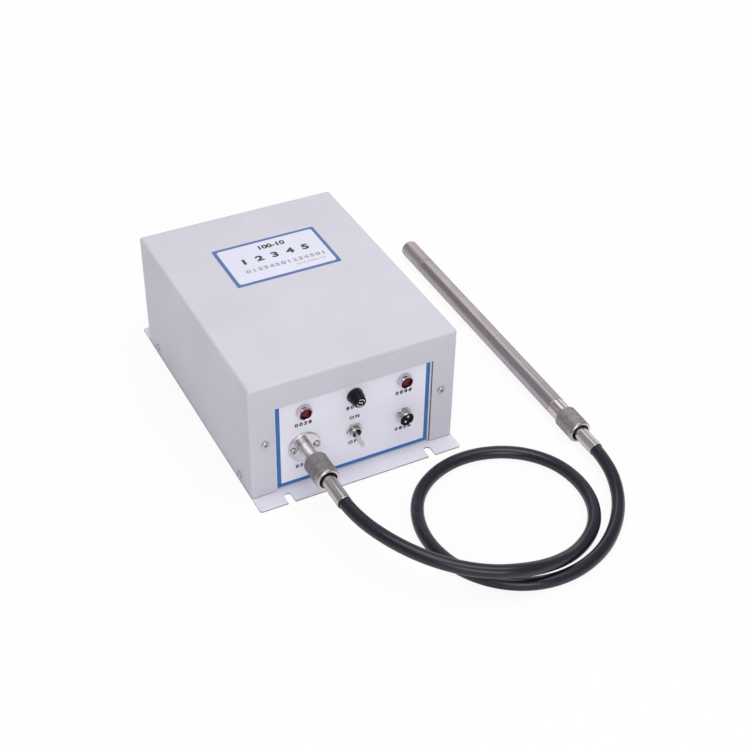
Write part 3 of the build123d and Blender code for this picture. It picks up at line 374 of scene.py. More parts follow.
def on_axis(tree, here, origin, direction):
    """Vector whose origin is on a turned part's axis and whose local Y runs along it."""
    turn = Vector((0, 1, 0)).rotation_difference(Vector(direction)).to_euler()
    inputs = {"Vector": here, "Location": tuple(origin), "Rotation": tuple(turn)}
    return add_node(tree, "Mapping", inputs, vector_type="TEXTURE").outputs[0]


def painted(name, colour, roughness=0.42, mottle=0.025, wear=0.25, cut=None,
            cut_edge_shade_colour=(128, 124, 128)):
    """Powder coat on sheet metal: fine peel, faint clouding, specks, rubbed edges and painted shade.

    The sheet's chosen cut edges are painted darker: bare metal darkened as painted shade, on
    the cover's jamb as the shade of the gap. They are where the normal's part on one axis has
    passed its two limits and the place on that axis lies between two levels.
    """
    made, tree, shader, here = new_finish(name)
    coat = place(tree, coat_texture, {"Vector": here, "Grain": 850.0, "Clouds": 11.0})
    worn = place(tree, edge_wear, {"Vector": here, "Radius": 0.0005, "Break": 260.0})
    corner_shade = place(tree, painted_corner_shade, {"Vector": here, "Reach": 0.0025})
    marks = place(tree, scratches, {"Vector": here, "Scale": 60.0})
    base = linear(*colour)
    tone = mix_colour(tree, coat["Cloud"], base, darker(base, 2 * mottle))
    for mask, amount, other in (
        (coat["Speck"], 0.3, (120, 116, 120)),
        (marks["Mask"], 0.12, (235, 235, 240)),
        (worn["Mask"], wear, (150, 148, 150)),
        # painted shade in corners and recesses
        (corner_shade["Mask"], 0.35, (118, 112, 114)),
    ):
        tone = mix_colour(tree, calc(tree, "MULTIPLY", mask, amount), tone, linear(*other))
    # Painted shade on the chosen cut edges, over the bare metal of the sheet's edge.
    if cut:
        normal = add_node(tree, "NewGeometry").outputs["Normal"]
        facing = add_node(tree, "SeparateXYZ", {0: normal}).outputs[cut["axis"]]
        level = add_node(tree, "SeparateXYZ", {0: here}).outputs[cut["axis"]]
        bottom, top = cut["levels"]
        middle = (bottom + top) / 2
        half = (top - bottom) / 2
        off = calc(tree, "ABSOLUTE", calc(tree, "SUBTRACT", level, middle))
        turned_away = ramp(tree, calc(tree, "ABSOLUTE", facing), *cut["limits"])
        edge = calc(tree, "MULTIPLY", turned_away, ramp(tree, off, half + 0.00005, half))
        uneven = ramp(tree, noise(tree, here, 120.0), 0.3, 0.7, 0.7, 1.0)
        tone = mix_colour(tree, calc(tree, "MULTIPLY", edge, uneven), tone, linear(*cut_edge_shade_colour))
    rough = ramp(tree, coat["Cloud"], 0.0, 1.0, roughness - 0.04, roughness + 0.05)
    feed(tree, shader, Base_Color=tone, Roughness=rough,
         Normal=bump(tree, coat["Height"], 0.00003))
    return made


def turned(name, colour, roughness, origin, direction=FRONT, depth=0.000012, contrast=0.14,
           corner_shade_amount=0.5, drawn=0.0, streak=0.0, face=None, face_rough=None):
    """Turned or drawn metal: lathe rings, or streaks along a drawn tube, and painted corner shade.

    The streak stretches the shine along the axis, as fine rings round a part do. The face
    colour and roughness are those of the smoother faces that look along the axis.
    """
    made, tree, shader, here = new_finish(name)
    local = on_axis(tree, here, origin, direction)
    rings = place(tree, lathe_marks, {"Vector": local, "Pitch": 2600.0})
    streaks = place(tree, drawn_lines, {"Vector": local, "Density": 1400.0})
    corner_shade = place(tree, painted_corner_shade, {"Vector": here, "Reach": 0.0018})
    coat = place(tree, coat_texture, {"Vector": here, "Grain": 1800.0, "Clouds": 35.0})
    line = mix_value(tree, drawn, rings["Tone"], streaks["Tone"])
    height = mix_value(tree, drawn, rings["Height"], streaks["Height"])
    base = linear(*colour)
    tone = mix_colour(tree, line, base, darker(base, contrast))
    along = Vector(direction)
    axis = add_node(tree, "CombineXYZ", {0: along.x, 1: along.y, 2: along.z}).outputs[0]
    normal = add_node(tree, "NewGeometry").outputs["Normal"]
    facing = add_node(tree, "VectorMath", {0: normal, 1: axis}, operation="DOT_PRODUCT")
    facing = calc(tree, "ABSOLUTE", facing.outputs["Value"])
    if face:
        tone = mix_colour(tree, ramp(tree, facing, 0.5, 0.9), tone, linear(*face))
    tone = mix_colour(tree, calc(tree, "MULTIPLY", coat["Cloud"], 0.12), tone, linear(96, 90, 90))
    # Painted shade in corners and recesses.
    tone = mix_colour(tree, calc(tree, "MULTIPLY", corner_shade["Mask"], corner_shade_amount), tone,
                      linear(46, 42, 42))
    rough = calc(tree, "ADD", ramp(tree, line, 0.0, 1.0, roughness - 0.04, roughness + 0.05),
                 ramp(tree, coat["Cloud"], 0.0, 1.0, -0.02, 0.04))
    if face_rough:
        rough = mix_value(tree, ramp(tree, facing, 0.7, 0.9), rough, face_rough)
    feed(tree, shader, Base_Color=tone, Roughness=rough, Metallic=1.0,
         Normal=bump(tree, height, depth))
    if streak:
        feed(tree, shader, Anisotropic=ramp(tree, facing, 0.7, 0.4, 0.0, streak), Tangent=axis)
    return made


def moulded(name, colour, roughness=0.45, grain=1600.0, depth=0.00002, wear=0.15,
            rubbed=(96, 96, 100), dust=0.10, clouds=30.0, shine=0.5):
    """Moulded plastic, rubber or ceramic: fine grain, dull patches, dust and rubbed edges."""
    made, tree, shader, here = new_finish(name)
    coat = place(tree, coat_texture, {"Vector": here, "Grain": grain, "Clouds": clouds})
    worn = place(tree, edge_wear, {"Vector": here, "Radius": 0.0003, "Break": 600.0})
    base = linear(*colour)
    tone = mix_colour(tree, coat["Cloud"], base, darker(base, 0.18))
    tone = mix_colour(tree, calc(tree, "MULTIPLY", worn["Mask"], wear), tone, linear(*rubbed))
    tone = mix_colour(tree, calc(tree, "MULTIPLY", coat["Speck"], dust), tone,
                      linear(190, 188, 186))
    rough = ramp(tree, coat["Cloud"], 0.0, 1.0, roughness - 0.06, roughness + 0.08)
    feed(tree, shader, Base_Color=tone, Roughness=rough, Specular_IOR_Level=shine,
         Normal=bump(tree, coat["Height"], depth))
    return made


def plated(name, colour, roughness=0.28, wear=0.3, bare=(150, 140, 128), metallic=1.0):
    """Plated sheet or wire: soft clouding, hairlines, rubbed edges and painted corner shade."""
    made, tree, shader, here = new_finish(name)
    coat = place(tree, coat_texture, {"Vector": here, "Grain": 1400.0, "Clouds": 60.0})
    worn = place(tree, edge_wear, {"Vector": here, "Radius": 0.0003, "Break": 700.0})
    corner_shade = place(tree, painted_corner_shade, {"Vector": here, "Reach": 0.0012})
    marks = place(tree, scratches, {"Vector": here, "Scale": 150.0})
    base = linear(*colour)
    tone = mix_colour(tree, coat["Cloud"], base, darker(base, 0.14))
    tone = mix_colour(tree, calc(tree, "MULTIPLY", worn["Mask"], wear), tone, linear(*bare))
    # Painted shade in corners and recesses.
    tone = mix_colour(tree, calc(tree, "MULTIPLY", corner_shade["Mask"], 0.75), tone, linear(44, 40, 40))
    rough = ramp(tree, coat["Cloud"], 0.0, 1.0, roughness - 0.05, roughness + 0.06)
    rough = calc(tree, "ADD", rough, calc(tree, "MULTIPLY", marks["Mask"], 0.12))
    feed(tree, shader, Base_Color=tone, Roughness=rough, Metallic=metallic,
         Normal=bump(tree, coat["Height"], 0.00001))
    return made


def layered(name, colour, second, roughness, count, turn=(0, 0, 0), metallic=0.0):
    """Stacked laminations or wound tape, each sheet a little different in tone."""
    made, tree, shader, here = new_finish(name)
    local = add_node(tree, "Mapping", {"Vector": here, "Rotation": turn}).outputs[0]
    sheets = place(tree, layers, {"Vector": local, "Count": count})
    coat = place(tree, coat_texture, {"Vector": here, "Grain": 1100.0, "Clouds": 24.0})
    tone = mix_colour(tree, sheets["Tone"], linear(*colour), linear(*second))
    tone = mix_colour(tree, calc(tree, "MULTIPLY", coat["Cloud"], 0.25), tone, linear(60, 56, 54))
    rough = ramp(tree, coat["Cloud"], 0.0, 1.0, roughness - 0.05, roughness + 0.08)
    feed(tree, shader, Base_Color=tone, Roughness=rough, Metallic=metallic,
         Normal=bump(tree, sheets["Height"], 0.00008))
    return made


def glassy(name, colour):
    """Clear moulded glass with faint clouding."""
    made, tree, shader, here = new_finish(name)
    coat = place(tree, coat_texture, {"Vector": here, "Grain": 700.0, "Clouds": 50.0})
    base = linear(*colour)
    tone = mix_colour(tree, coat["Cloud"], base, darker(base, 0.1))
    rough = ramp(tree, coat["Cloud"], 0.0, 1.0, 0.06, 0.11)
    feed(tree, shader, Base_Color=tone, Roughness=rough, Transmission_Weight=0.85, IOR=1.47,
         Normal=bump(tree, coat["Height"], 0.000004))
    return made


def printed(name, centre, turn, half_width, half_height, band, corner, border_ink, field):
    """Printed film: a coloured border round a pale field, under a faintly textured film."""
    made, tree, shader, here = new_finish(name)
    inputs = {"Vector": here, "Location": centre, "Rotation": turn}
    flat = add_node(tree, "Mapping", inputs, vector_type="TEXTURE").outputs[0]
    border = place(tree, frame_print, {
        "Vector": flat, "Half Width": half_width, "Half Height": half_height,
        "Band": band, "Corner": corner,
    })["Border"]
    coat = place(tree, coat_texture, {"Vector": here, "Grain": 700.0, "Clouds": 14.0})
    corner_shade = place(tree, painted_corner_shade, {"Vector": here, "Reach": 0.004})
    marks = place(tree, scratches, {"Vector": here, "Scale": 70.0})
    base = linear(*field)
    paper = mix_colour(tree, coat["Cloud"], base, darker(base, 0.04))
    uneven = calc(tree, "MULTIPLY", coat["Cloud"], 0.06)
    worn_ink = mix_colour(tree, uneven, linear(*border_ink), base)
    tone = mix_colour(tree, border, paper, worn_ink)
    # Painted shade in corners and recesses, such as under the cover's top band.
    tone = mix_colour(tree, calc(tree, "MULTIPLY", corner_shade["Mask"], 0.22), tone, linear(120, 116, 120))
    rough = calc(tree, "ADD", ramp(tree, coat["Cloud"], 0.0, 1.0, 0.30, 0.38),
                 calc(tree, "MULTIPLY", marks["Mask"], 0.15))
    feed(tree, shader, Base_Color=tone, Roughness=rough,
         Normal=bump(tree, coat["Height"], 0.000012))
    return made


def lens_finish(name):
    """Deep red moulded lens: patches of darker red under a hard gloss."""
    made, tree, shader, here = new_finish(name)
    coat = place(tree, coat_texture, {"Vector": here, "Grain": 420.0, "Clouds": 260.0})
    tone = mix_colour(tree, coat["Cloud"], linear(118, 16, 30), linear(54, 5, 12))
    rough = ramp(tree, coat["Cloud"], 0.0, 1.0, 0.18, 0.30)
    feed(tree, shader, Base_Color=tone, Roughness=rough, Coat_Weight=0.08, Coat_Roughness=0.05,
         Specular_IOR_Level=0.3, Normal=bump(tree, coat["Height"], 0.00002))
    return made


socket_axis = (LEFT_COLUMN, 0, LOWER_ROW)
inlet_axis = (RIGHT_COLUMN, 0, LOWER_ROW)
toggle_axis = (MIDDLE_COLUMN, 0, LOWER_ROW)
left_lamp_axis = (LEFT_COLUMN, 0, UPPER_ROW)
right_lamp_axis = (RIGHT_COLUMN, 0, UPPER_ROW)

# Painted shade: the cover's right window jamb is painted dark as the gap's shadow.
COVER_JAMB_SHADE = {"axis": "X", "limits": (0.4, 0.6), "levels": (0.0842, 0.0848)}
# The base's sheet edges: bare sheared metal, darkened further as painted shade.
BASE_EDGE_AND_SHADE = {"axis": "Z", "limits": (0.6, 0.4), "levels": (-0.001, 0.0016)}

# The overlay's border is open at the top: its upper side would lie above the overlay.
BORDER_SIDE = 0.0016           # from the overlay's sides to the border
BORDER_FOOT = 0.0004           # from its lower edge to the border
BORDER_HALF_HEIGHT = 0.060
overlay_low, overlay_high = corners_of("panel_overlay")
label_low, label_high = corners_of("top_label")
label_middle = (label_low + label_high) / 2
label_half = (label_high - label_low) / 2

finishes = {
    "case_paint": painted("case_paint", (201, 200, 210), cut=COVER_JAMB_SHADE,
                          cut_edge_shade_colour=(74, 68, 72)),
    # Painted highlight: the base's coat is lighter than the case's, offsetting the case's shade.
    "base_paint": painted("base_paint", (225, 224, 234), wear=0.35, cut=BASE_EDGE_AND_SHADE),
    "panel_steel": painted("panel_steel", (196, 195, 204)),
    "overlay_print": printed(
        "overlay_print", centre=(0, 0, overlay_low.z + BORDER_FOOT + BORDER_HALF_HEIGHT),
        turn=(radians(90), 0, 0), half_width=overlay_high.x - BORDER_SIDE,
        half_height=BORDER_HALF_HEIGHT, band=0.0044, corner=0.0002, border_ink=(6, 98, 168),
        field=(232, 231, 242)),
    "label_print": printed(
        "label_print", centre=(label_middle.x, label_middle.y, 0), turn=(0, 0, 0),
        half_width=label_half.x, half_height=label_half.y, band=0.0037, corner=0.003,
        border_ink=(48, 92, 156), field=(215, 216, 232)),
    "zinc_screws": plated("zinc_screws", (206, 204, 207), 0.24),
    "bright_plate": plated("bright_plate", (222, 218, 217), 0.16),
    "lamp_lens": lens_finish("lamp_lens"),
    "black_plastic": moulded("black_plastic", (30, 30, 33), 0.42),
    "brown_plastic": moulded("brown_plastic", (84, 46, 30), 0.38),
    "fuse_glass": glassy("fuse_glass", (228, 232, 230)),
    "tube_glass": glassy("tube_glass", (206, 214, 218)),
    "tinned_brass": plated("tinned_brass", (214, 210, 202), 0.22, bare=(186, 158, 96)),
    "contact_brass": plated("contact_brass", (200, 166, 92), 0.24, bare=(214, 190, 130)),
    "standoff_brass": plated("standoff_brass", (196, 164, 96), 0.28, bare=(214, 190, 130)),
    "socket_metal": turned("socket_metal", (236, 230, 233), 0.42, socket_axis, depth=0.000004,
                           contrast=0.08, streak=1.0, face=(226, 223, 226), face_rough=0.11),
    "sleeve_metal": turned("sleeve_metal", (200, 194, 193), 0.20, socket_axis, drawn=0.7,
                           depth=0.000003, contrast=0.08, streak=0.5),
    "nut_metal": turned("nut_metal", (172, 165, 164), 0.34, socket_axis, face=(226, 222, 223)),
    "polished_steel": turned("polished_steel", (204, 194, 196), 0.05, ROD_SEAT, TO_CABLE,
                             depth=0.000001, contrast=0.05),
    "rod_steel": turned("rod_steel", (180, 171, 175), 0.30, ROD_SEAT, TO_CABLE, drawn=0.8,
                        depth=0.000004),
    "tip_steel": turned("tip_steel", (190, 180, 184), 0.44, ROD_SEAT, TO_CABLE, drawn=0.5,
                        depth=0.000005),
    "moulded_insulator": moulded("moulded_insulator", (226, 222, 210), 0.35),
    "insulator": moulded("insulator", (232, 228, 218), 0.30, rubbed=(170, 160, 150)),
    "seal_rubber": moulded("seal_rubber", (22, 22, 24), 0.55, grain=2400.0),
    "cable_jacket": moulded(
        "cable_jacket", (19, 16, 34), 0.29, grain=2600.0, depth=0.00002, wear=0.0, dust=0.12,
        clouds=22.0, shine=0.5),
    "core_steel": layered("core_steel", (104, 102, 106), (86, 84, 88), 0.42, 2000.0,
                          (radians(90), 0, 0), metallic=0.7),
    "winding_tape": layered("winding_tape", (206, 172, 62), (190, 152, 46), 0.36, 260.0),
    "strap_steel": plated("strap_steel", (182, 180, 178), 0.30),
    "capacitor_case": painted("capacitor_case", (150, 158, 168), 0.38, mottle=0.05),
    "clip_plastic": moulded("clip_plastic", (214, 210, 198), 0.42),
    "board_laminate": layered("board_laminate", (38, 92, 58), (30, 82, 50), 0.30, 2500.0),
    "component_cases": moulded("component_cases", (44, 44, 58), 0.36, clouds=40.0),
}

# These nodes have a finish of their own: turned ones have rings about their own axis, and the
# others a tone that the rest of their slot doesn't have.
own_finishes = {
    "rod_plug_sleeve": turned("rod_sleeve_metal", (206, 200, 200), 0.20, ROD_SEAT, TO_CABLE,
                              drawn=0.7, depth=0.000003, contrast=0.08),
    "rod_union_nut": turned("rod_nut_metal", (174, 167, 168), 0.34, ROD_SEAT, TO_CABLE,
                            face=(222, 218, 220)),
    "inlet_pins": plated("inlet_pin_plate", (240, 238, 232), 0.25, wear=0.1, metallic=0.6),
    "fuse_cap": moulded("fuse_cap_plastic", (9, 8, 17), 0.36, rubbed=(44, 44, 50), shine=0.2),
    "inlet_insert": moulded("inlet_insert_plastic", (10, 10, 12), 0.40, rubbed=(40, 40, 44),
                            shine=0.2),
    "inlet_shell": turned("inlet_shell_metal", (216, 211, 211), 0.12, inlet_axis),
    "toggle_bushing": turned("toggle_bushing_metal", (208, 203, 202), 0.15, toggle_axis,
                             corner_shade_amount=0.2),
    "toggle_lever": plated("toggle_lever_plate", (222, 214, 216), 0.20, wear=0.1, metallic=0.7),
    "left_lamp_bezel": turned("left_bezel_metal", (220, 218, 223), 0.10, left_lamp_axis),
    "right_lamp_bezel": turned("right_bezel_metal", (220, 218, 223), 0.10, right_lamp_axis),
}

for entry in frame["record"]["subparts"]:
    name = entry["node"]
    solid = frame["nodes"][name]
    chosen = own_finishes.get(name) or finishes[entry["material_slot"]]
    for used in solid.material_slots:
        used.material = chosen


# ==========================================================================================
# Cable
# ==========================================================================================
CABLE_DIAMETER = 0.013
cable_route = [
    (-0.0535, -0.2172, 0.0465), (-0.0535, -0.2482, 0.0465), (-0.035, -0.295, 0.0435),
    (-0.0075, -0.3295, 0.0385), (0.027, -0.3525, 0.033), (0.063, -0.364, 0.03),
    (0.0995, -0.358, 0.0175), (0.1345, -0.344, 0.0065), (0.1635, -0.325, 0.0065),
    (0.1805, -0.2975, 0.0065), (0.1855, -0.2655, 0.0065), (0.179, -0.2335, 0.0065),
    (0.1595, -0.207, 0.0065), (0.1305, -0.19, 0.0065), (0.0955, -0.1845, 0.0065),
    (0.0615, -0.193, 0.0065), (0.033, -0.2135, 0.0065), (0.0155, -0.245, 0.0065),
    (0.011, -0.281, 0.0065), (0.02, -0.317, 0.0065), (0.043, -0.347, 0.0065),
    (0.076, -0.365, 0.0065), (0.1145, -0.3675, 0.0065), (0.153, -0.355, 0.0065),
    (0.1855, -0.33, 0.0065), (0.21, -0.2975, 0.0065), (0.2218, -0.259487, 0.012571),
    (0.222318, -0.226491, 0.012381),
]
cable_curve = bpy.data.curves.new("high_tension_cable", "CURVE")
cable_curve.dimensions = "3D"
cable_curve.bevel_depth = CABLE_DIAMETER / 2
cable_curve.bevel_resolution = 8
cable_curve.use_fill_caps = True
run = cable_curve.splines.new("NURBS")
run.points.add(len(cable_route) - 1)
for point, spot in zip(run.points, cable_route):
    point.co = (*spot, 1)
run.order_u = 3
run.use_endpoint_u = True
run.resolution_u = 14
cable = bpy.data.objects.new("high_tension_cable", cable_curve)
bpy.context.scene.collection.objects.link(cable)
cable_curve.materials.append(finishes["cable_jacket"])
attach(cable, "ignition_set")
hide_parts("ignition_cable")


# ==========================================================================================
# Shaping helpers
# ==========================================================================================
SHARP_EDGE = radians(35)       # steeper edges are shaded as corners
WELD = 1e-7                    # points closer than this are one


def settle(mesh, origin, direction):
    """Turns a shape made about +Z onto a fitting's axis and puts it at its origin."""
    turn = Vector((0, 0, 1)).rotation_difference(Vector(direction)).to_matrix().to_4x4()
    bmesh.ops.transform(mesh, matrix=Matrix.Translation(Vector(origin)) @ turn, verts=mesh.verts)


def around_axis(vertex):
    """Distance of a point from the Z axis and its angle round it."""
    flat = Vector((vertex.co.x, vertex.co.y))
    return flat.length, flat.angle_signed(Vector((1, 0)), 0)


def keep(name, mesh, finish, body, smooth=True):
    """Writes a shape to its object, dresses it and lets it ride on its body."""
    data = bpy.data.meshes.new(name)
    for face in mesh.faces:
        face.smooth = smooth
    if smooth:
        for edge in mesh.edges:
            if len(edge.link_faces) == 2:
                edge.smooth = edge.calc_face_angle(0) < SHARP_EDGE
    mesh.to_mesh(data)
    mesh.free()
    data.materials.append(finish)
    piece = bpy.data.objects.new(name, data)
    bpy.context.scene.collection.objects.link(piece)
    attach(piece, body)
    return piece


def lathe(profile, steps=96):
    """Full turn of (radius, height) points about +Z; a closed ring if no point is on the axis."""
    mesh = bmesh.new()
    points = [mesh.verts.new((radius, 0, height)) for radius, height in profile]
    hollow = min(radius for radius, height in profile) > WELD
    pairs = list(zip(points, points[1:]))
    if hollow:
        pairs.append((points[-1], points[0]))
    edges = [mesh.edges.new(pair) for pair in pairs]
    bmesh.ops.spin(mesh, geom=points + edges, axis=(0, 0, 1), cent=(0, 0, 0), angle=2 * pi,
                   steps=steps, use_merge=True)
    bmesh.ops.remove_doubles(mesh, verts=mesh.verts, dist=WELD)
    bmesh.ops.recalc_face_normals(mesh, faces=mesh.faces)
    return mesh


# ==========================================================================================
# Union nuts: diamond knurl between a plain shoulder and a bright front lip
# ==========================================================================================
nut_low, nut_high = corners_of("box_union_nut")
NUT_REAR = BOX_SEAT.y - nut_high.y     # behind the seat
NUT_FRONT = BOX_SEAT.y - nut_low.y     # in front of it
NUT_RADIUS = 0.0121
NUT_BORE = 0.0092              # in front of the collar
NUT_CHAMBER = 0.0100           # round the collar and the thread
CHAMBER_END = 0.0095
KNURL_REAR = NUT_REAR + 0.0021
KNURL_FRONT = NUT_FRONT - 0.0042
KNURL_ROWS = 72
KNURL_RIDGES = 64
KNURL_LEAD = 0.0760            # length in which a ridge goes once round
KNURL_DEPTH = 0.00034


def knurled_nut():
    """Union nut about +Z, seat at the origin, +Z towards the cable."""
    row_height = (KNURL_FRONT - KNURL_REAR) / KNURL_ROWS
    mesh = lathe([
        (NUT_CHAMBER, NUT_REAR), (0.0105, NUT_REAR), (0.0113, NUT_REAR + 0.0003),
        (NUT_RADIUS - 0.0003, NUT_REAR + 0.0009), (NUT_RADIUS, NUT_REAR + 0.0017),
        *[(NUT_RADIUS, KNURL_REAR + row_height * step) for step in range(KNURL_ROWS + 1)],
        (NUT_RADIUS - 0.0004, KNURL_FRONT + 0.0002), (NUT_RADIUS - 0.0004, KNURL_FRONT + 0.0008),
        (NUT_RADIUS, KNURL_FRONT + 0.0010), (NUT_RADIUS, NUT_FRONT - 0.0014),
        (NUT_RADIUS - 0.0004, NUT_FRONT - 0.0006), (NUT_RADIUS - 0.0012, NUT_FRONT),
        (0.0094, NUT_FRONT), (NUT_BORE, NUT_FRONT - 0.0003),
        (NUT_BORE, CHAMBER_END), (NUT_CHAMBER, CHAMBER_END),
    ], 256)
    slant = KNURL_RIDGES / KNURL_LEAD * 2 * pi
    for vertex in mesh.verts:
        across, angle = around_axis(vertex)
        inside = min(vertex.co.z - KNURL_REAR, KNURL_FRONT - vertex.co.z)
        if across < NUT_RADIUS - 0.00001 or inside < 0.0001:
            continue
        first = abs(sin((KNURL_RIDGES * angle + slant * vertex.co.z) / 2))
        second = abs(sin((KNURL_RIDGES * angle - slant * vertex.co.z) / 2))
        scale = 1 - KNURL_DEPTH * (1 - min(first, second)) ** 1.5 / across
        vertex.co.x *= scale
        vertex.co.y *= scale
    return mesh


for end, seat, direction, finish in (
    ("box", BOX_SEAT, FRONT, finishes["nut_metal"]),
    ("rod", ROD_SEAT, TO_CABLE, own_finishes["rod_union_nut"]),
):
    nut = knurled_nut()
    settle(nut, seat, direction)
    nut_piece = keep(end + "_knurled_nut", nut, finish, end + "_union_nut")
    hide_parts(end + "_union_nut")


# ==========================================================================================
# Threaded fittings on the panel
# ==========================================================================================
shell_low, shell_high = corners_of("inlet_shell")
INLET_REAR = OVERLAY_FRONT - shell_high.y      # behind the overlay
INLET_FRONT = OVERLAY_FRONT - shell_low.y      # in front of it
INLET_BORE = 0.0070
INLET_SHANK = 0.0077           # radius behind the flange
INLET_FLANGE = 0.0084          # radius
FLANGE_FRONT = 0.0008
EDGE_BREAK = 0.0002            # chamfer on the turned edges
THREAD_RADIUS = 0.0078         # at its crest
THREAD_START = 0.0012
THREAD_END = 0.0082
THREAD_PITCH = 0.0010
THREAD_DEPTH = 0.0006


def thread_points():
    """Profile points of the inlet's cut thread."""
    root = THREAD_RADIUS - THREAD_DEPTH
    points = []
    for turn in range(round((THREAD_END - THREAD_START) / THREAD_PITCH)):
        base = THREAD_START + turn * THREAD_PITCH
        points += [
            (root, base), (root, base + 0.15 * THREAD_PITCH),
            (THREAD_RADIUS, base + 0.45 * THREAD_PITCH),
            (THREAD_RADIUS, base + 0.65 * THREAD_PITCH),
        ]
    return points + [(root, THREAD_END)]


inlet = lathe([
    (INLET_BORE, INLET_REAR + EDGE_BREAK), (INLET_BORE + EDGE_BREAK, INLET_REAR),
    (INLET_SHANK, INLET_REAR), (INLET_SHANK, 0.0), (INLET_FLANGE, 0.0),
    (INLET_FLANGE, FLANGE_FRONT - EDGE_BREAK), (INLET_FLANGE - EDGE_BREAK, FLANGE_FRONT),
    *thread_points(),
    (THREAD_RADIUS - EDGE_BREAK, INLET_FRONT - 2 * EDGE_BREAK),
    (THREAD_RADIUS - 2 * EDGE_BREAK, INLET_FRONT),
    (INLET_BORE + EDGE_BREAK, INLET_FRONT), (INLET_BORE, INLET_FRONT - EDGE_BREAK),
])
settle(inlet, (RIGHT_COLUMN, OVERLAY_FRONT, LOWER_ROW), FRONT)
inlet_piece = keep("inlet_threaded_shell", inlet, own_finishes["inlet_shell"], "ignition_set")
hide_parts("inlet_shell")


# ==========================================================================================
# Indicator lenses: a ring of moulded facets under the bezel's rim
# ==========================================================================================
LENS_RADIUS = 0.0059
LENS_SEAT = 0.0008             # in front of the overlay
FACETS = 20
FACET_DEPTH = 0.00018


def facet_lens():
    """Domed lens about +Z with its facets cut as flat faces; the seat is at the origin."""
    mesh = lathe([(0.0, 0.0040), (0.0014, 0.0039), (0.0031, 0.0035), (0.0046, 0.0028),
                  (LENS_RADIUS, 0.0018), (LENS_RADIUS, 0.0004)], FACETS)
    for vertex in mesh.verts:
        across, angle = around_axis(vertex)
        if 0.001 < across < LENS_RADIUS - 0.0003:
            half_turn = pi if across > 0.0038 else 0
            vertex.co.z += FACET_DEPTH * cos(FACETS / 2 * angle + half_turn)
    return mesh


for side, column in (("left", LEFT_COLUMN), ("right", RIGHT_COLUMN)):
    lens = facet_lens()
    settle(lens, (column, OVERLAY_FRONT - LENS_SEAT, UPPER_ROW), FRONT)
    lens_piece = keep(side + "_facet_lens", lens, finishes["lamp_lens"], "ignition_set",
                      smooth=False)
    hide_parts(side + "_lamp_lens")


# ==========================================================================================
# Print on the panel: plain numbers and the switch's ON and OFF
# ==========================================================================================
def ink(name, colour, faded):
    """Screen-printed ink, thin in places."""
    made, tree, shader, here = new_finish(name)
    coat = place(tree, coat_texture, {"Vector": here, "Grain": 2000.0, "Clouds": 90.0})
    tone = mix_colour(tree, coat["Cloud"], linear(*colour), linear(*faded))
    feed(tree, shader, Base_Color=tone, Roughness=0.4,
         Normal=bump(tree, coat["Height"], 0.000005))
    return made


ink_black = ink("caption_ink", (22, 21, 26), (44, 42, 48))
ink_grey = ink("label_grey_ink", (142, 140, 150), (172, 170, 180))
ink_white = ink("cap_ink", (226, 226, 228), (196, 196, 200))
INK_FRONT = OVERLAY_FRONT - 0.00003
INK_HALF = 0.00002             # half of the ink's thickness
CAPITAL_SHARE = 0.72           # height of a capital in its type size
LABEL_INK = label_high.z + 0.00001


def caption(name, words, spot, height, spread=1.45, bold=0.00028, wide=1.22, upright=True,
            colour=ink_black):
    """Printed characters centred on a spot, upright on the panel or flat on the top."""
    text = bpy.data.curves.new(name, "FONT")
    text.body = words
    text.size = height / CAPITAL_SHARE
    text.align_x = "CENTER"
    text.align_y = "CENTER"
    text.space_character = spread
    text.extrude = INK_HALF
    text.offset = bold
    holder = bpy.data.objects.new(name, text)
    bpy.context.scene.collection.objects.link(holder)
    flat = bpy.data.meshes.new_from_object(holder)
    bpy.data.objects.remove(holder)
    mesh = bmesh.new()
    mesh.from_mesh(flat)
    bpy.data.meshes.remove(flat)
    bmesh.ops.remove_doubles(mesh, verts=mesh.verts, dist=WELD)
    bmesh.ops.scale(mesh, vec=(wide, 1, 1), verts=mesh.verts)
    if upright:
        bmesh.ops.rotate(mesh, cent=(0, 0, 0), matrix=Matrix.Rotation(radians(90), 3, "X"),
                         verts=mesh.verts)
    bmesh.ops.translate(mesh, vec=spot, verts=mesh.verts)
    keep(name, mesh, colour, "ignition_set", smooth=False)


for place_name, words, column, row, height in (
    ("left_lamp", "0038", LEFT_COLUMN - 0.0003, 0.0744, 0.0039),
    ("fuse", "8058", MIDDLE_COLUMN, 0.0760, 0.0039),
    ("right_lamp", "0888", RIGHT_COLUMN - 0.0003, 0.0757, 0.0039),
    ("inlet", "0858", RIGHT_COLUMN, 0.0300, 0.0039),
    ("output", "0588", LEFT_COLUMN - 0.0003, 0.0230, 0.0039),
    ("switch_on", "ON", MIDDLE_COLUMN, 0.0630, 0.0035),
    ("switch_off", "OFF", MIDDLE_COLUMN, 0.0320, 0.0035),
):
    caption("caption_" + place_name, words, (column, INK_FRONT, row), height)

# Top label: plain numbers in four lines
for line_name, words, column, row, height, spread, bold, wide, colour in (
    ("number", "100-10", 0.0075, 0.0695, 0.0068, 1.0, 0.00042, 1.15, ink_black),
    ("large", "12345", 0.0045, 0.0515, 0.0088, 2.15, 0.0006, 1.3, ink_black),
    ("small", "01234501234501", 0.0095, 0.0338, 0.0054, 1.32, 0.0004, 1.3, ink_grey),
    ("fine", "0123450123", 0.0340, 0.0255, 0.0030, 1.3, 0.0001, 1.2, ink_grey),
):
    caption("label_" + line_name, words, (column, row, LABEL_INK), height, spread, bold, wide,
            False, colour)


# ==========================================================================================
# White print on the fuse cap's front: two arcs and a bar
# ==========================================================================================
ARC_INSIDE = 0.0034
ARC_OUTSIDE = 0.0042
ARC_SWEEP = radians(110)
CAP_PRINT_TURN = radians(-28)
CAP_FRONT = corners_of("fuse_cap")[0].y


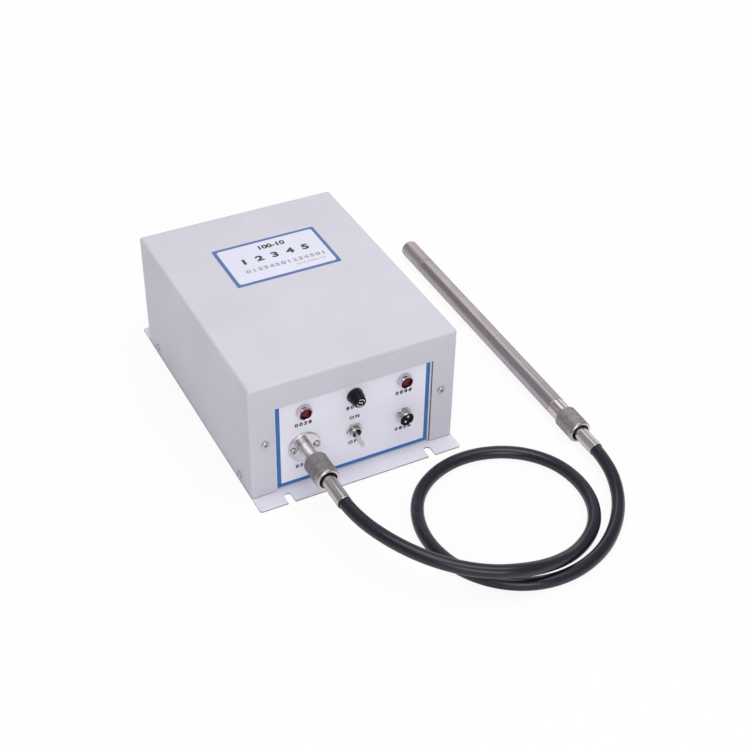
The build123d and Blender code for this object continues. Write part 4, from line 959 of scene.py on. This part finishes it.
def cap_print():
    """Two thin arcs about +Z with a bar between them."""
    mesh = bmesh.new()
    for start in (35, 215):
        out = Vector((cos(radians(start)), sin(radians(start)), 0))
        ends = [mesh.verts.new(out * radius) for radius in (ARC_INSIDE, ARC_OUTSIDE)]
        bmesh.ops.spin(mesh, geom=[*ends, mesh.edges.new(ends)], axis=(0, 0, 1),
                       cent=(0, 0, 0), angle=ARC_SWEEP, steps=12)
    bar = bmesh.ops.create_grid(mesh, x_segments=1, y_segments=1, size=0.5)["verts"]
    bmesh.ops.scale(mesh, vec=(0.0048, 0.0009, 1), verts=bar)
    thick = bmesh.ops.extrude_face_region(mesh, geom=mesh.faces[:])
    raised = [item for item in thick["geom"] if isinstance(item, bmesh.types.BMVert)]
    bmesh.ops.translate(mesh, vec=(0, 0, 2 * INK_HALF), verts=raised)
    bmesh.ops.recalc_face_normals(mesh, faces=mesh.faces)
    return mesh


marks = cap_print()
bmesh.ops.rotate(marks, cent=(0, 0, 0), matrix=Matrix.Rotation(CAP_PRINT_TURN, 3, "Z"),
                 verts=marks.verts)
settle(marks, (MIDDLE_COLUMN, CAP_FRONT, UPPER_ROW), FRONT)
keep("fuse_cap_marks", marks, ink_white, "fuse_cap", smooth=False)


# ==========================================================================================
# Floor, daylight and soft boxes
# ==========================================================================================
FLOOR_WHITE = 0.9              # white share of the floor near the product, under its shadow
FLOOR_MIRRORED = 0.15          # white share of the floor in shiny metal
FLOOR_HALF = 12.0              # half of its side
WHITE_FROM = 0.6               # from here out the floor fades to white
WHITE_TO = 1.6


def floor_finish():
    """Pale floor: matt under the light, near white where it is seen, part white in metal."""
    made = bpy.data.materials.new("studio_floor")
    made.use_nodes = True
    tree = made.node_tree
    tree.nodes.clear()
    matt = add_node(tree, "BsdfDiffuse", {"Color": (0.88, 0.88, 0.89, 1)}).outputs[0]
    glow = add_node(tree, "Emission", {"Color": (1, 1, 1, 1), "Strength": 1.0}).outputs[0]
    ray = add_node(tree, "LightPath").outputs
    here = add_node(tree, "TexCoord").outputs["Object"]
    away = add_node(tree, "VectorMath", {0: here}, operation="LENGTH").outputs["Value"]
    whiter = ramp(tree, away, WHITE_FROM, WHITE_TO, FLOOR_WHITE, 1.0)
    seen = calc(tree, "MULTIPLY", ray["Is Camera Ray"], whiter)
    mirrored = calc(tree, "MAXIMUM", ray["Is Glossy Ray"], ray["Is Transmission Ray"])
    mirrored = calc(tree, "MULTIPLY", mirrored, FLOOR_MIRRORED)
    share = calc(tree, "MAXIMUM", seen, mirrored)
    both = add_node(tree, "MixShader", {0: share, 1: matt, 2: glow}).outputs[0]
    add_node(tree, "OutputMaterial", {"Surface": both})
    return made


def daylight():
    """Soft even room light, dimmer in shiny metal and white where it is seen."""
    world = bpy.data.worlds.new("studio_world")
    world.use_nodes = True
    tree = world.node_tree
    tree.nodes.clear()
    light, room, white = [
        add_node(tree, "Background", {"Color": colour, "Strength": strength}).outputs[0]
        for colour, strength in (
            ((0.985, 0.975, 1.0, 1), 0.55),
            ((1, 0.975, 0.985, 1), 0.4),
            ((1, 1, 1, 1), 1.0),
        )
    ]
    ray = add_node(tree, "LightPath").outputs
    lit = add_node(tree, "MixShader", {0: ray["Is Glossy Ray"], 1: light, 2: room}).outputs[0]
    seen = calc(tree, "MAXIMUM", ray["Is Camera Ray"], ray["Is Transmission Ray"])
    both = add_node(tree, "MixShader", {0: seen, 1: lit, 2: white}).outputs[0]
    add_node(tree, "OutputWorld", {"Surface": both})
    return world


def soft_box(name, spot, aim, width, height, watts):
    """Rectangular studio light that points at a spot on the product."""
    data = bpy.data.lights.new(name, "AREA")
    data.shape = "RECTANGLE"
    data.size = width
    data.size_y = height
    data.energy = watts
    lamp = bpy.data.objects.new(name, data)
    lamp.location = spot
    lamp.rotation_euler = (Vector(aim) - Vector(spot)).to_track_quat("-Z", "Y").to_euler()
    bpy.context.scene.collection.objects.link(lamp)


floor_mesh = bmesh.new()
bmesh.ops.create_grid(floor_mesh, x_segments=1, y_segments=1, size=FLOOR_HALF)
floor_data = bpy.data.meshes.new("studio_floor")
floor_mesh.to_mesh(floor_data)
floor_mesh.free()
floor_data.materials.append(floor_finish())
floor = bpy.data.objects.new("studio_floor", floor_data)
bpy.context.scene.collection.objects.link(floor)

bpy.context.scene.world = daylight()
soft_box("overhead_box", (0.1, -0.35, 1.9), (0.05, -0.1, 0), 1.6, 1.2, 17)
soft_box("front_box", (-0.5, -2.0, 1.0), (0, -0.1, 0.05), 1.2, 1.0, 12)
soft_box("rear_box", (0.41, 1.28, 1.34), (0.15, -0.05, 0.02), 0.9, 0.9, 2.8)
soft_box("side_box", (1.36, 1.28, 0.72), (0.2, -0.05, 0.02), 1.6, 0.9, 3.8)
